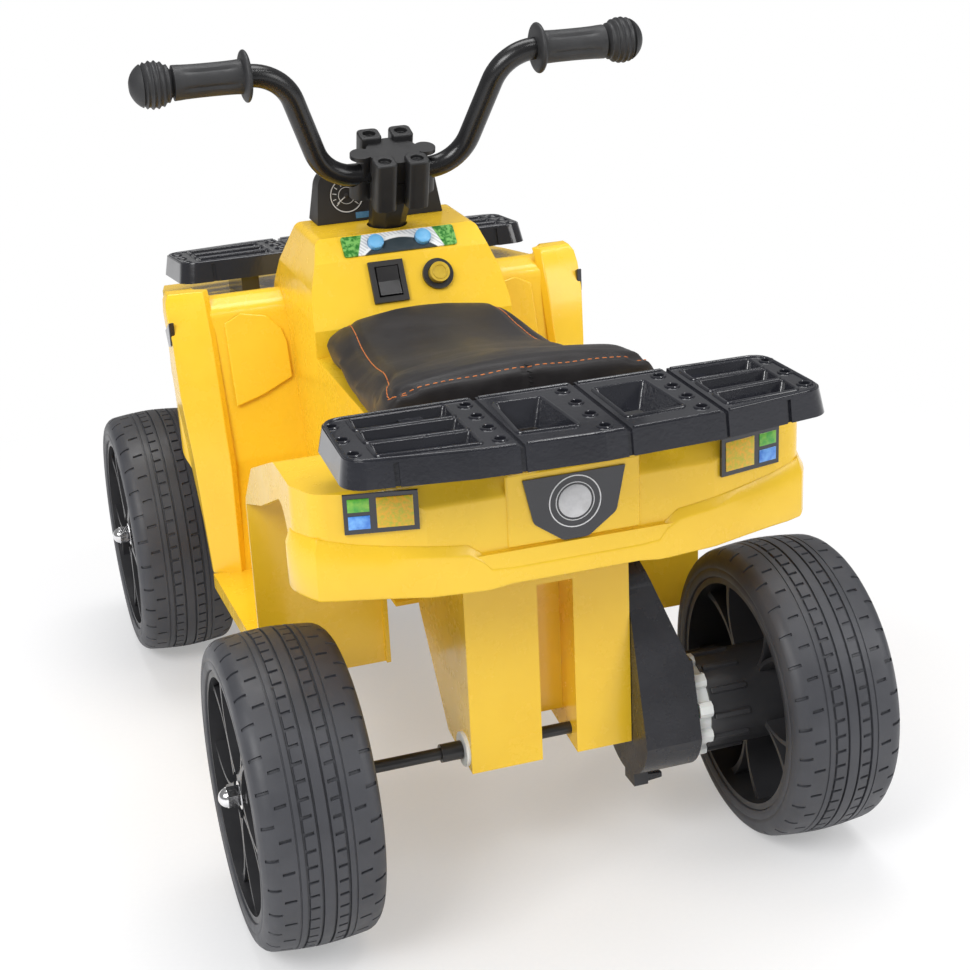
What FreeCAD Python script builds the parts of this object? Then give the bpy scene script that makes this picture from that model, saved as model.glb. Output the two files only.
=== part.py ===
import FreeCAD, Part
import math
import os
import types
import Sketcher

# A kids quad bike. X is to its right, Y is forward, Z is up, and the ground is Z = 0.
# Lengths are millimetres and angles are degrees.
SIZES = {
    # Wheels
    "wheel_dia": 200,
    "tyre_width": 75,
    "wheelbase": 454,
    "tread_drop": 2.5,
    "shoulder_run": 7,
    "shoulder_drop": 8.5,
    "sidewall_dish": 3,
    "tread_line_inner": 4,
    "tread_line_outer": 13,
    "tread_line_width": 1.8,
    "tread_line_depth": 1.6,
    "tyre_height": 21,
    "rim_wall": 4,
    "rim_inset": 2,
    "web_thick": 4,
    "web_offset": 2,
    "hub_barrel_dia": 64,
    "hub_nose_dia": 34,
    "hub_recess": 7.5,
    "rear_barrel": 29,
    "front_barrel": 2.5,
    "spoke_inset": 5,
    "spoke_root_angle": 20,
    "spoke_root_half_angle": 9,
    "spoke_tip_angle": 20,
    "spoke_tip_half_angle": 2.6,
    "spoke_outer_bend": 62,
    "spoke_inner_bend": 48,
    "axle_dia": 8,
    "run_gap": 0.1,
    "press_gap": 0.1,
    "nut_across": 13,
    "nut_height": 8,
    "nut_flange_dia": 18,
    "nut_flange": 1.5,
    "nut_dome_dia": 12.4,
    "thread_reach": 9,
    "nut_gap": 0.4,
    # Front axle and steering
    "kingpin_inset": 53,
    "kingpin_dia": 8,
    "kingpin_head_dia": 14,
    "kingpin_head": 4,
    "knuckle_dia": 17,
    "knuckle_height": 36,
    "yoke_gap": 0.4,
    "yoke_thick": 4,
    "yoke_width": 24,
    "yoke_reach": 23,
    "beam_height": 20,
    "beam_depth": 26,
    "arm_thick": 4,
    "arm_width": 14,
    "thrust_dia": 15,
    "thrust_gap": 0.4,
    "tie_gap": 0.4,
    "tie_thick": 4,
    "tie_width": 14,
    "tie_pin_dia": 6,
    "steer_arm": 38,
    "column_y": 65,
    "column_z": 414,
    "column_dia": 10,
    "crank_dia": 8,
    "crank_rise": 12,
    "crank_pin_tail": 9,
    "crank_pin_gap": 1.4,
    "tie_eye_dia": 24,
    "bush_dia": 18,
    "bush_length": 22,
    "bush_gap": 0.25,
    "bush_collar_dia": 26,
    # Handlebar, in a plane that leans back
    "bar_lean": 17,
    "bar_dia": 16,
    "bar_wall": 1.5,
    "bar_half": 176,
    "bar_rise": 86,
    "bar_bend_x": 50,
    "bar_leg_angle": 70,
    "bar_bend_radius": 34,
    "grip_start": 104,
    "grip_flange_dia": 36,
    "grip_flange": 4,
    "grip_dia": 25,
    "grip_waist_dia": 23.5,
    "grip_ball_dia": 31,
    "grip_ball_start": 158,
    "grip_rib": 2.2,
    "grip_rib_pitch": 3.6,
    "grip_rib_depth": 1.4,
    "clamp_half_height": 17,
    "clamp_hub_dia": 39,
    "clamp_ring_radius": 24,
    "clamp_boss_dia": 16,
    "clamp_split": 0.6,
    "clamp_screw_dia": 4,
    "clamp_head_dia": 7.5,
    "clamp_head": 3,
    "clamp_head_sink": 2,
    "stem_length": 36,
    "stem_top_dia": 28,
    "stem_foot_dia": 23,
    "stem_lap": 4,
    "stem_hole_gap": 1,
    # Upper body
    "body_wall": 3,
    "tunnel_half": 75,
    "tunnel_clear": 5.6,
    "tunnel_rear_y": -262,
    "deck_z": 311,
    "deck_front_y": -216,
    "saddle_rise_y": -140,
    "saddle_z": 292,
    "dash_foot_y": 28,
    "dash_foot_z": 312,
    "dash_knee_y": 52,
    "dash_knee_z": 355,
    "dash_top_y": 66,
    "dash_top_z": 370,
    "dash_front_y": 128,
    "dash_top_half": 61,
    "dash_low_half": 72,
    "dash_low_z": 318,
    "hood_y": 168,
    "hood_z": 304,
    "hood_front_y": 296,
    "hood_front_z": 290,
    "nose_y": 318,
    "nose_z": 270,
    "nose_foot_z": 205,
    "nose_foot_y": 314,
    "fender_half": 163,
    "fender_front_half": 148,
    "fender_rear_half": 138,
    "fender_corner_y": 140,
    "shield_foot_y": 86,
    "shield_foot_z": 112,
    "shield_knee_y": 91,
    "shield_knee_z": 200,
    "shield_top_y": 126,
    "shield_top_z": 310,
    "fender_crest_y": 146,
    "fender_crest_z": 319,
    "apron_front_y": 318,
    "apron_front_z": 262,
    "apron_foot_z": 216,
    "front_light_half": 92,
    "front_corner_half": 140,
    "front_corner_y": 302,
    "front_arch_radius": 128,
    "tail_half": 161,
    "tail_y": -292,
    "tail_crest_z": 311,
    "tail_foot_z": 247,
    "tail_light_half": 90,
    "tail_corner_half": 152,
    "tail_corner_y": -279,
    "tail_side_y": -258,
    "tail_top_y": -282,
    "tail_open_z": 258,
    "tail_band": 3,
    "tail_band_height": 16,
    "well_wall_y": -110,
    "well_top_z": 248,
    "well_knee_y": -142,
    "well_knee_z": 281,
    "arch_front_z": 246,
    "arch_mid_y": -165,
    "arch_mid_z": 264,
    "arch_rear_y": -232,
    "arch_rear_z": 294,
    "arch_tail_y": -250,
    "board_front_z": 112,
    "board_rear_z": 126,
    "board_thick": 4,
    "board_lip": 12,
    "board_half": 157,
    "corner_round": 14,
    "edge_round": 6,
    "boss_dia": 12,
    "boss_x": 58,
    "boss_front_y": 8,
    "boss_rear_y": -100,
    "hatch_half": 52,
    "hatch_front_y": -14,
    "hatch_rear_y": -128,
    "overrun": 20,
    # Lower body
    "pan_gap": 0.6,
    "pan_clear": 44.6,
    "pan_thick": 3,
    "pan_front_y": 292,
    "pan_rear_y": -137,
    "pan_rib": 8,
    "box_half": 55,
    "box_rear_y": -240,
    "box_front_y": -115,
    "box_foot_drop": 12,
    "box_step_y": -190,
    "box_step_drop": 5,
    "box_knee_y": -137,
    "box_knee_drop": 5,
    "box_brow_z": 215,
    "box_top_z": 280,
    "box_floor_lift": 16,
    "channel_left": -7,
    "channel_right": 17,
    "channel_depth": 26,
    "channel_top_z": 212,
    "channel_floor_lift": 8,
    "bracket_half": 46,
    "bracket_gap": 18,
    "bracket_depth": 40,
    "axle_bush_dia": 16,
    "axle_bush_length": 18,
    "axle_bush_flange_dia": 23,
    "axle_bush_flange": 2.4,
    "axle_collar_dia": 12,
    "axle_collar_start": 58,
    "axle_collar": 14,
    "screw_dia": 4,
    "screw_head_dia": 8,
    "screw_head": 2.4,
    "screw_reach": 12,
    "screw_gap": 0.1,
    # Gearbox and drive
    "gear_module": 1.25,
    "gear_lean": 9,
    "wheel_gear_teeth": 40,
    "mid_gear_teeth": 36,
    "pinion_teeth": 12,
    "backlash": 0.3,
    "gear_gap": 1.2,
    "gear_face": 6,
    "wheel_gear_face": 10,
    "gear_pin_dia": 4,
    "gear_hub_dia": 24,
    "motor_shaft_dia": 3,
    "case_gap": 0.4,
    "case_wall": 3,
    "case_depth": 38.5,
    "case_drum_radius": 39,
    "case_head_radius": 24,
    "case_arc_angle": 9.5,
    "case_slope_top_x": 74.5,
    "case_slope_foot_x": 92,
    "case_slope_lift": 44,
    "case_split_x": 76,
    "case_tab_width": 16,
    "case_tab_height": 14,
    "case_tab": 10,
    "ring_dia": 70,
    "ring_gap": 1.5,
    "ring_thick": 9.1,
    "ring_lobe_dia": 10,
    "motor_dia": 28,
    "motor_length": 34,
    "motor_nose_dia": 10,
    # Seat
    "seat_front_y": 26,
    "seat_rear_y": -218,
    "seat_base_z": 297,
    "seat_tail_base_z": 315,
    "seat_front_half": 66,
    "seat_rear_half": 86,
    "seat_front_top_half": 53,
    "seat_rear_top_half": 77,
    "seat_front_top_z": 319,
    "seat_low_top_z": 314,
    "seat_rear_top_z": 346,
    "seat_crown": 4,
    "seat_tuck": 5,
    "seat_lip": 12,
    "seat_crown_radius": 420,
    "seat_channel": 2,
    "seat_channel_depth": 1.2,
    "seat_pan_thick": 3,
    "seat_pan_half": 62,
    "seat_pan_front_y": 18,
    "seat_pan_rear_y": -136,
    "seat_pan_lift": 0.4,
    # Racks
    "rear_rack_front_y": -252,
    "rear_rack_top_z": 346,
    "front_rack_rear_y": 184,
    "front_rack_top_z": 332.5,
    "rack_half": 146,
    "rack_inner_half": 143,
    "rack_depth": 80,
    "rack_bulge": 16,
    "rack_height": 15,
    "rack_draft": 10,
    "rack_taper": 18,
    "rack_pocket_round": 2,
    "rack_hole_dia": 6.4,
    "rack_groove": 3,
    "rack_groove_depth": 1.5,
    "rack_foot_x": 89,
    "rack_foot_width": 14,
    "rack_foot_start": 3,
    "rear_rack_foot": 22,
    "front_rack_foot": 60,
    "tongue_half": 62,
    "tongue_reach": 28,
    "tongue_drop": 20,
    "tongue_thick": 5,
    # Dash, lights and badge
    "rocker_x": -14.5,
    "rocker_v": 30,
    "rocker_width": 26,
    "rocker_height": 31,
    "rocker_bezel": 3,
    "rocker_frame": 4,
    "rocker_sink": 10,
    "rocker_gap": 1,
    "rocker_rise": 4.5,
    "rocker_peak": 1.6,
    "rocker_angle": 9,
    "rocker_pin_dia": 3,
    "button_x": 23.5,
    "button_v": 31,
    "button_bezel_dia": 23,
    "button_bezel": 3,
    "button_dia": 15,
    "button_rise": 5,
    "button_sink": 11,
    "button_travel": 3,
    "button_gap": 0.4,
    "button_wall": 2.5,
    "sound_half": 43,
    "sound_low_v": 2.4,
    "sound_high_v": 19,
    "sound_plate": 1.6,
    "sound_button_x": 18,
    "sound_button_v": 11,
    "sound_button_dia": 11.5,
    "sound_button_rise": 3.4,
    "sound_button_flange": 1.5,
    "sound_travel": 1.5,
    "speaker_dia": 28,
    "speaker_depth": 9,
    "speaker_x": 38,
    "speaker_magnet_dia": 14,
    "speaker_magnet": 6,
    "panel_low_half": 49,
    "panel_top_half": 44,
    "panel_y": 107,
    "panel_lean": 7,
    "panel_height": 40,
    "panel_crest": 12,
    "panel_foot": 27,
    "panel_dial_dia": 27,
    "panel_dial_x": 24,
    "panel_dial_z": 20,
    "panel_dial_depth": 1.5,
    "plate_thick": 2,
    "plate_gap": 0.3,
    "light_inset": 4,
    "tail_light_z": 286,
    "tail_light_height": 24,
    "tail_light_length": 43,
    "head_light_z": 238,
    "head_light_height": 24,
    "lens_inset": 3,
    "lens_rise": 2,
    "badge_half": 32,
    "badge_low_half": 26,
    "badge_z": 264,
    "badge_step_z": 277,
    "badge_top_z": 305,
    "badge_point_half": 8,
    "bumper_half": 82,
    "bumper_low_half": 62,
    "bumper_low_z": 214,
    "bumper_high_z": 250,
    "bumper_front_y": 348,
    "bumper_thick": 11,
    "bumper_post_dia": 16,
    "bumper_post_x": 54,
    "bumper_slot": 7,
    "bumper_slot_inset": 20,
    # Pedal, battery and socket
    "pedal_x": 116,
    "pedal_width": 46,
    "pedal_front_y": 60,
    "pedal_rear_y": -18,
    "pedal_lift": 13,
    "pedal_thick": 4,
    "pedal_pin_dia": 4,
    "pedal_ear": 5,
    "pedal_ear_gap": 0.4,
    "pedal_hinge_z": 131,
    "pedal_switch_width": 12,
    "pedal_switch_depth": 20,
    "pedal_switch_gap": 7,
    "battery_width": 100,
    "battery_depth": 47,
    "battery_height": 70,
    "battery_y": -66,
    "socket_dia": 11,
    "socket_flange_dia": 16,
    "socket_flange": 2,
    "socket_depth": 14,
    "socket_bore": 6,
    "socket_y": -60,
    "socket_z": 215,
}

# Shares of the seat's length, of the way from front to rear sizes, and of the rise of its base.
SEAT_PLACE_SHARES = [0, 0.08, 0.35, 0.62, 0.86, 1]
SEAT_WIDTH_SHARES = [0, 0.12, 0.36, 0.66, 0.97, 0.9]
SEAT_TOP_SHARES = [0.1, 0.2, 0, 0.42, 0.97, 0.86]
SEAT_BASE_SHARES = [0, 0, 0, 0, 0.72, 1]

# Shares of a tooth: places from the pitch circle and half widths, both in modules.
WHEEL_TOOTH_SHARES = [(-1.45, 0.98), (-0.7, 0.92), (0, 0.785), (0.9, 0.42)]
PINION_TOOTH_SHARES = [(-1.45, 0.66), (-0.4, 0.82), (0, 0.785), (0.9, 0.377)]

# Share of a module from the pitch circle down to a gear's root, and of the pedal's lift at its switch
GEAR_ROOT_SHARE = 1.25
SWITCH_LIFT_SHARE = 0.7

# Shares of a rack's half width, and of its depth from the curved edge: pockets, slots, holes and grooves
RACK_POCKET_SHARES = [
    [(-0.29, 0.22), (-0.06, 0.22), (-0.08, 0.78), (-0.27, 0.78)],
    [(0.15, 0.22), (0.39, 0.22), (0.37, 0.78), (0.15, 0.78)],
]
RACK_SLOT_SHARES = [(0.12, 0.33), (0.39, 0.60), (0.66, 0.87)]
RACK_SLOT_END_SHARES = [(-0.85, -0.46), (0.56, 0.87)]
RACK_STRIP_SHARES = [-0.38, 0.03, 0.45]
RACK_HOLE_SHARES = [0.15, 0.38, 0.61, 0.84]
RACK_END_SHARE = 0.93
RACK_END_HOLE_SHARES = [0.2, 0.5, 0.8]
RACK_GROOVE_SHARES = [-0.325, 0.1, 0.51]
RACK_NOTCH_SHARES = [-0.8, 0.8]

doc = FreeCAD.newDocument("KidsQuad")
sheet = doc.addObject("Spreadsheet::Sheet", "Sizes")
for row, (name, number) in enumerate(SIZES.items(), start=1):
    sheet.set("A%d" % row, str(number))
    sheet.setAlias("A%d" % row, name)
doc.recompute()


class Size:
    """A length from the sheet or a sum of such lengths: its number and its expression."""

    def __init__(self, number, text):
        self.number = number
        self.text = text

    def __add__(self, other):
        other = as_size(other)
        return Size(self.number + other.number, "(%s + %s)" % (self.text, other.text))

    def __sub__(self, other):
        other = as_size(other)
        return Size(self.number - other.number, "(%s - %s)" % (self.text, other.text))

    def __mul__(self, other):
        other = as_size(other)
        return Size(self.number * other.number, "(%s * %s)" % (self.text, other.text))

    def __truediv__(self, other):
        other = as_size(other)
        return Size(self.number / other.number, "(%s / %s)" % (self.text, other.text))

    def __radd__(self, other):
        return as_size(other) + self

    def __rsub__(self, other):
        return as_size(other) - self

    def __rmul__(self, other):
        return as_size(other) * self

    def __rtruediv__(self, other):
        return as_size(other) / self

    def __neg__(self):
        return as_size(0) - self


def as_size(value):
    return value if isinstance(value, Size) else Size(value, repr(value))


def sine(angle):
    return Size(math.sin(math.radians(angle.number)), "sin(%s * 1 deg)" % angle.text)


def cosine(angle):
    return Size(math.cos(math.radians(angle.number)), "cos(%s * 1 deg)" % angle.text)


def tangent(angle):
    return Size(math.tan(math.radians(angle.number)), "tan(%s * 1 deg)" % angle.text)


def root_of_squares(a, b):
    return Size(math.hypot(a.number, b.number), "sqrt(pow(%s; 2) + pow(%s; 2))" % (a.text, b.text))


S = types.SimpleNamespace(**{name: Size(number, "Sizes." + name) for name, number in SIZES.items()})


def bind(thing, prop, value):
    thing.setExpression(prop, as_size(value).text)


def place(thing, x=0, y=0, z=0, axis=None, angle=0):
    """Put a sub-part where it belongs, turned about an axis through its own origin."""
    turn = FreeCAD.Rotation(FreeCAD.Vector(*axis), as_size(angle).number) if axis else FreeCAD.Rotation()
    spot = FreeCAD.Vector(as_size(x).number, as_size(y).number, as_size(z).number)
    thing.Placement = FreeCAD.Placement(spot, turn)
    for letter, value in zip("xyz", (x, y, z)):
        if isinstance(value, Size):
            bind(thing, "Placement.Base." + letter, value)
    return thing


def new(kind, label):
    thing = doc.addObject(kind, label)
    thing.Label = label
    return thing


def draw(sketch, outline):
    """Draw a closed outline. A point may carry the radius of the arc that leaves it, minus for clockwise."""
    first = sketch.GeometryCount
    spots = [(as_size(p[0]), as_size(p[1])) for p in outline]
    count = len(outline)
    ends = []
    for i, point in enumerate(outline):
        a = FreeCAD.Vector(spots[i][0].number, spots[i][1].number, 0)
        b = FreeCAD.Vector(spots[(i + 1) % count][0].number, spots[(i + 1) % count][1].number, 0)
        if len(point) == 2:
            sketch.addGeometry(Part.LineSegment(a, b), False)
            ends.append((1, 2))
            continue
        bend = as_size(point[2]).number
        half = (b - a) / 2
        side = FreeCAD.Vector(-half.y, half.x, 0).normalize()
        rise = math.sqrt(max(bend * bend - half.Length ** 2, 0))
        middle = a + half + side * (rise if bend > 0 else -rise)
        begin, finish = (a, b) if bend > 0 else (b, a)
        turn_a = math.atan2(begin.y - middle.y, begin.x - middle.x)
        turn_b = math.atan2(finish.y - middle.y, finish.x - middle.x)
        circle = Part.Circle(middle, FreeCAD.Vector(0, 0, 1), abs(bend))
        sketch.addGeometry(Part.ArcOfCircle(circle, turn_a, turn_b), False)
        ends.append((1, 2) if bend > 0 else (2, 1))
    for i in range(count):
        j = (i + 1) % count
        sketch.addConstraint(Sketcher.Constraint("Coincident", first + i, ends[i][1], first + j, ends[j][0]))
    for i, (u, v) in enumerate(spots):
        pin(sketch, "DistanceX", -2, first + i, ends[i][0], u)
        pin(sketch, "DistanceY", -1, first + i, ends[i][0], v)
    for i, point in enumerate(outline):
        if len(point) > 2:
            bend = as_size(point[2])
            bend = bend if bend.number > 0 else -bend
            index = sketch.addConstraint(Sketcher.Constraint("Radius", first + i, bend.number))
            bind(sketch, "Constraints[%d]" % index, bend)


def pin(sketch, kind, axis, geometry, end, value):
    if abs(value.number) < 1e-9:
        sketch.addConstraint(Sketcher.Constraint("PointOnObject", geometry, end, axis))
        return
    index = sketch.addConstraint(Sketcher.Constraint(kind, -1, 1, geometry, end, value.number))
    bind(sketch, "Constraints[%d]" % index, value)


def sketch_on(body, plane, outlines, offset=0):
    """A sketch on YZ, XZ or XY of a body, moved along the plane's normal."""
    sketch = body.newObject("Sketcher::SketchObject", body.Label + "_sketch")
    origin = [f for f in body.Origin.OriginFeatures if f.Role == plane + "_Plane"][0]
    sketch.AttachmentSupport = (origin, [""])
    sketch.MapMode = "FlatFace"
    shift = -as_size(offset) if plane == "XZ" else as_size(offset)
    if abs(shift.number) > 1e-9:
        bind(sketch, "AttachmentOffset.Base.z", shift)
    for outline in outlines:
        draw(sketch, outline)
    return sketch


def pad(label, plane, outline, start, length, rounds=(), taper=None, more=(), down=False):
    """A prism: an outline on a plane, from a start along the plane's axis, with rounded corners."""
    body = new("PartDesign::Body", label)
    sketch = sketch_on(body, plane, [outline, *more], start)
    prism = body.newObject("PartDesign::Pad", label + "_pad")
    prism.Profile = sketch
    prism.Reversed = down or plane == "XZ"
    bind(prism, "Length", length)
    if taper is not None:
        bind(prism, "TaperAngle", taper)
    doc.recompute()
    for corners, radius in rounds:
        names = []
        for index, edge in enumerate(body.Tip.Shape.Edges, start=1):
            if any(along(edge, plane, outline[c]) for c in corners):
                names.append("Edge%d" % index)
        before = body.Tip
        fillet = body.newObject("PartDesign::Fillet", label + "_round")
        fillet.Base = (before, names)
        bind(fillet, "Radius", radius)
        doc.recompute()
    return body


def along(edge, plane, corner):
    """Whether an edge runs along a prism from one corner of its outline."""
    if len(edge.Vertexes) != 2:
        return False
    u, v = as_size(corner[0]).number, as_size(corner[1]).number
    spots = []
    for vertex in edge.Vertexes:
        p = vertex.Point
        spots.append({"YZ": (p.y, p.z, p.x), "XZ": (p.x, p.z, p.y), "XY": (p.x, p.y, p.z)}[plane])
    if abs(spots[0][2] - spots[1][2]) < 1e-4:
        return False
    return any(abs(a - u) < 1e-4 and abs(b - v) < 1e-4 for a, b, _ in spots)


def turned(label, outline):
    """A piece turned about X: its outline is given as places along X and radii."""
    body = new("PartDesign::Body", label)
    sketch = sketch_on(body, "XY", [outline])
    turn = body.newObject("PartDesign::Revolution", label + "_turn")
    turn.Profile = sketch
    turn.ReferenceAxis = (sketch, ["H_Axis"])
    turn.Angle = 360
    return body


def rod(label, axis, radius, length, x=0, y=0, z=0):
    thing = new("Part::Cylinder", label)
    bind(thing, "Radius", radius)
    bind(thing, "Height", length)
    turns = {"x": ((0, 1, 0), 90), "y": ((1, 0, 0), -90), "z": (None, 0)}
    return place(thing, x, y, z, *turns[axis])


def block(label, x0, x1, y0, y1, z0, z1):
    thing = new("Part::Box", label)
    bind(thing, "Length", as_size(x1) - x0)
    bind(thing, "Width", as_size(y1) - y0)
    bind(thing, "Height", as_size(z1) - z0)
    return place(thing, x0, y0, z0)


def fuse(label, *things):
    whole = new("Part::MultiFuse", label)
    whole.Shapes = list(things)
    whole.Refine = True
    return whole


def common(label, *things):
    shared = new("Part::MultiCommon", label)
    shared.Shapes = list(things)
    shared.Refine = True
    return shared


def cut(label, base, *tools):
    rest = new("Part::Cut", label)
    rest.Base = base
    rest.Tool = tools[0] if len(tools) == 1 else fuse(label + "_tools", *tools)
    rest.Refine = True
    return rest


def mirror(label, thing):
    other = new("Part::Mirroring", label)
    other.Source = thing
    other.Normal = (1, 0, 0)
    return other


def together(label, *things):
    several = new("Part::Compound", label)
    several.Links = list(things)
    return several


def twin(label, thing):
    """A piece with its mirror image on the other side, held as one node."""
    return together(label, thing, mirror(label + "_other", thing))


# Places that follow from the sizes
wheel_radius = S.wheel_dia / 2
half_tyre = S.tyre_width / 2
case_x = S.box_half + S.case_gap
case_end = case_x + S.case_depth
ring_x = case_end + S.ring_gap
ring_end = ring_x + S.ring_thick
wheel_x = ring_end + S.rear_barrel + half_tyre
track_outer = wheel_x * 2 + S.tyre_width
kingpin_x = wheel_x - S.kingpin_inset
front_y = S.wheelbase / 2
rear_y = -S.wheelbase / 2
axle_radius = S.axle_dia / 2
hub_face = half_tyre - S.hub_recess

# Wheels: a tyre with five flat bands between four tread lines, on a rim with ten curved ribs
tread_edge = half_tyre - S.shoulder_run
seat_radius = wheel_radius - S.tyre_height


def tread_line(middle):
    low = wheel_radius - S.tread_line_depth
    left = middle - S.tread_line_width / 2
    right = middle + S.tread_line_width / 2
    return [(left, wheel_radius), (left, low), (right, low), (right, wheel_radius)]


def tyre(label):
    outline = [(-half_tyre, wheel_radius - S.shoulder_drop), (-tread_edge, wheel_radius - S.tread_drop)]
    for line in (-S.tread_line_outer, -S.tread_line_inner, S.tread_line_inner, S.tread_line_outer):
        outline += tread_line(line)
    outline += [(tread_edge, wheel_radius - S.tread_drop), (half_tyre, wheel_radius - S.shoulder_drop)]
    outline += [(half_tyre - S.sidewall_dish, seat_radius), (S.sidewall_dish - half_tyre, seat_radius)]
    return turned(label, outline)


def rib_point(radius, angle):
    return (radius * sine(angle), radius * cosine(angle))


def rim(label, barrel):
    outer = seat_radius - S.press_gap
    inner = outer - S.rim_wall
    edge = half_tyre - S.rim_inset
    hub_back = -half_tyre - barrel
    bore = axle_radius + S.run_gap
    web_front = S.web_offset + S.web_thick
    outline = [(hub_back, bore), (hub_back, S.hub_barrel_dia / 2), (S.web_offset, S.hub_barrel_dia / 2)]
    outline += [(S.web_offset, inner), (-edge, inner), (-edge, outer), (edge, outer), (edge, inner)]
    outline += [(web_front, inner), (web_front, S.hub_nose_dia / 2), (hub_face, S.hub_nose_dia / 2)]
    outline += [(hub_face, bore)]
    dish = turned(label + "_dish", outline)
    root = S.hub_nose_dia / 2 - S.web_thick / 2
    tip = inner + S.rim_wall / 2
    near = S.spoke_root_angle - S.spoke_root_half_angle
    far = S.spoke_root_angle + S.spoke_root_half_angle
    tip_near = S.spoke_tip_angle - S.spoke_tip_half_angle
    tip_far = S.spoke_tip_angle + S.spoke_tip_half_angle
    leaf = [(*rib_point(root, near), S.spoke_inner_bend), rib_point(tip, tip_near)]
    leaf += [(*rib_point(tip, tip_far), -S.spoke_outer_bend), rib_point(root, far)]
    other = [(*rib_point(root, -far), -S.spoke_outer_bend), rib_point(tip, -tip_far)]
    other += [(*rib_point(tip, -tip_near), S.spoke_inner_bend), rib_point(root, -near)]
    ribs = pad(label + "_ribs", "YZ", leaf, S.spoke_inset * 2 - half_tyre, half_tyre * 2 - S.spoke_inset * 3,
               more=[other])
    ring = ribs.newObject("PartDesign::PolarPattern", label + "_pattern")
    ring.Originals = [ribs.Tip]
    ring.Axis = ([f for f in ribs.Origin.OriginFeatures if f.Role == "X_Axis"][0], [""])
    ring.Angle = 360
    ring.Occurrences = 5
    ribs.Tip = ring
    hole = rod(label + "_hole", "x", S.hub_nose_dia / 2 - S.web_thick, S.tyre_width, -half_tyre)
    return fuse(label, dish, cut(label + "_spokes", ribs, hole))


nodes = {}
for end, way, barrel in (("rear", rear_y, S.rear_barrel), ("front", front_y, S.front_barrel)):
    for side, across, turn in (("left", -wheel_x, 180), ("right", wheel_x, 0)):
        label = "%s_%s_tyre" % (end, side)
        nodes[label] = place(tyre(label), across, way, wheel_radius, (0, 0, 1), turn)
        label = "%s_%s_rim" % (end, side)
        nodes[label] = place(rim(label, barrel), across, way, wheel_radius, (0, 0, 1), turn)


# Cap nuts, which hold the wheels on
def cap_nut(label):
    """A domed nut with a flange: it points along X from the hub face, with a blind bore."""
    flange = rod(label + "_flange", "x", S.nut_flange_dia / 2, S.nut_flange)
    hexagon = new("Part::Prism", label + "_hexagon")
    hexagon.Polygon = 6
    bind(hexagon, "Circumradius", S.nut_across / 2 / cosine(Size(30, "30")))
    bind(hexagon, "Height", S.nut_height)
    place(hexagon, S.nut_flange, 0, 0, (0, 1, 0), 90)
    dome = new("Part::Sphere", label + "_dome")
    bind(dome, "Radius", S.nut_dome_dia / 2)
    place(dome, S.nut_flange + S.nut_height - S.nut_flange / 2, 0, 0)
    bore = rod(label + "_bore", "x", axle_radius + S.press_gap, S.thread_reach + S.press_gap)
    return cut(label, fuse(label + "_whole", flange, hexagon, dome), bore)


nut_x = wheel_x + hub_face + S.nut_gap
nodes["rear_cap_nuts"] = twin("rear_cap_nuts", place(cap_nut("rear_cap_nut"), nut_x, rear_y, wheel_radius))
for side, across, turn in (("left", -nut_x, 180), ("right", nut_x, 0)):
    label = "front_%s_cap_nut" % side
    nodes[label] = place(cap_nut(label), across, front_y, wheel_radius, (0, 0, 1), turn)

# Rear axle: a plain rod with one collar beside the left leg, and the two bushes it sits in
axle_end = nut_x + S.thread_reach
rear_rod = rod("rear_axle_rod", "x", axle_radius, axle_end * 2, -axle_end, rear_y, wheel_radius)
collar_x = -S.axle_collar_start - S.axle_collar
rear_collar = rod("rear_axle_collar", "x", S.axle_collar_dia / 2, S.axle_collar, collar_x, rear_y, wheel_radius)
nodes["rear_axle"] = fuse("rear_axle", rear_rod, rear_collar)
bush_bore = axle_radius + S.press_gap
bush_back = S.axle_bush_length - S.box_half
left_bush = turned("left_bush", [
    (-S.box_half - S.axle_bush_flange, bush_bore), (-S.box_half - S.axle_bush_flange, S.axle_bush_flange_dia / 2),
    (-S.box_half, S.axle_bush_flange_dia / 2), (-S.box_half, S.axle_bush_dia / 2),
    (bush_back, S.axle_bush_dia / 2), (bush_back, bush_bore)])
place(left_bush, 0, rear_y, wheel_radius)
right_bush = turned("right_bush", [
    (-bush_back, bush_bore), (-bush_back, S.axle_bush_dia / 2),
    (S.box_half, S.axle_bush_dia / 2), (S.box_half, bush_bore)])
place(right_bush, 0, rear_y, wheel_radius)
nodes["rear_axle_bushes"] = together("rear_axle_bushes", left_bush, right_bush)

# Front axle: knuckles on kingpins between the beam's yokes, each with a stub and a steering arm
knuckle_top = wheel_radius + S.knuckle_height / 2
knuckle_foot = wheel_radius - S.knuckle_height / 2
yoke_top = knuckle_top + S.yoke_gap
yoke_foot = knuckle_foot - S.yoke_gap
tie_z = knuckle_top + S.tie_gap + S.tie_thick / 2
tie_y = front_y - S.steer_arm
tunnel_foot = tie_z + S.tie_thick / 2 + S.tunnel_clear
pan_z = tie_z + S.pan_clear

# The column points from the handlebar down to the axle line at the level of the tie rod, so that the
# crank, the two knuckle arms and the tie rod make one parallelogram
column_run = front_y - S.column_y
column_fall = S.column_z - tie_z
column_length = root_of_squares(column_run, column_fall)
rake_sin = column_run / column_length
rake_cos = column_fall / column_length
rake_angle = math.degrees(math.atan2(column_run.number, column_fall.number))
crank_length = S.steer_arm * rake_cos
pin_level = S.steer_arm * rake_sin - column_length


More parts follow.
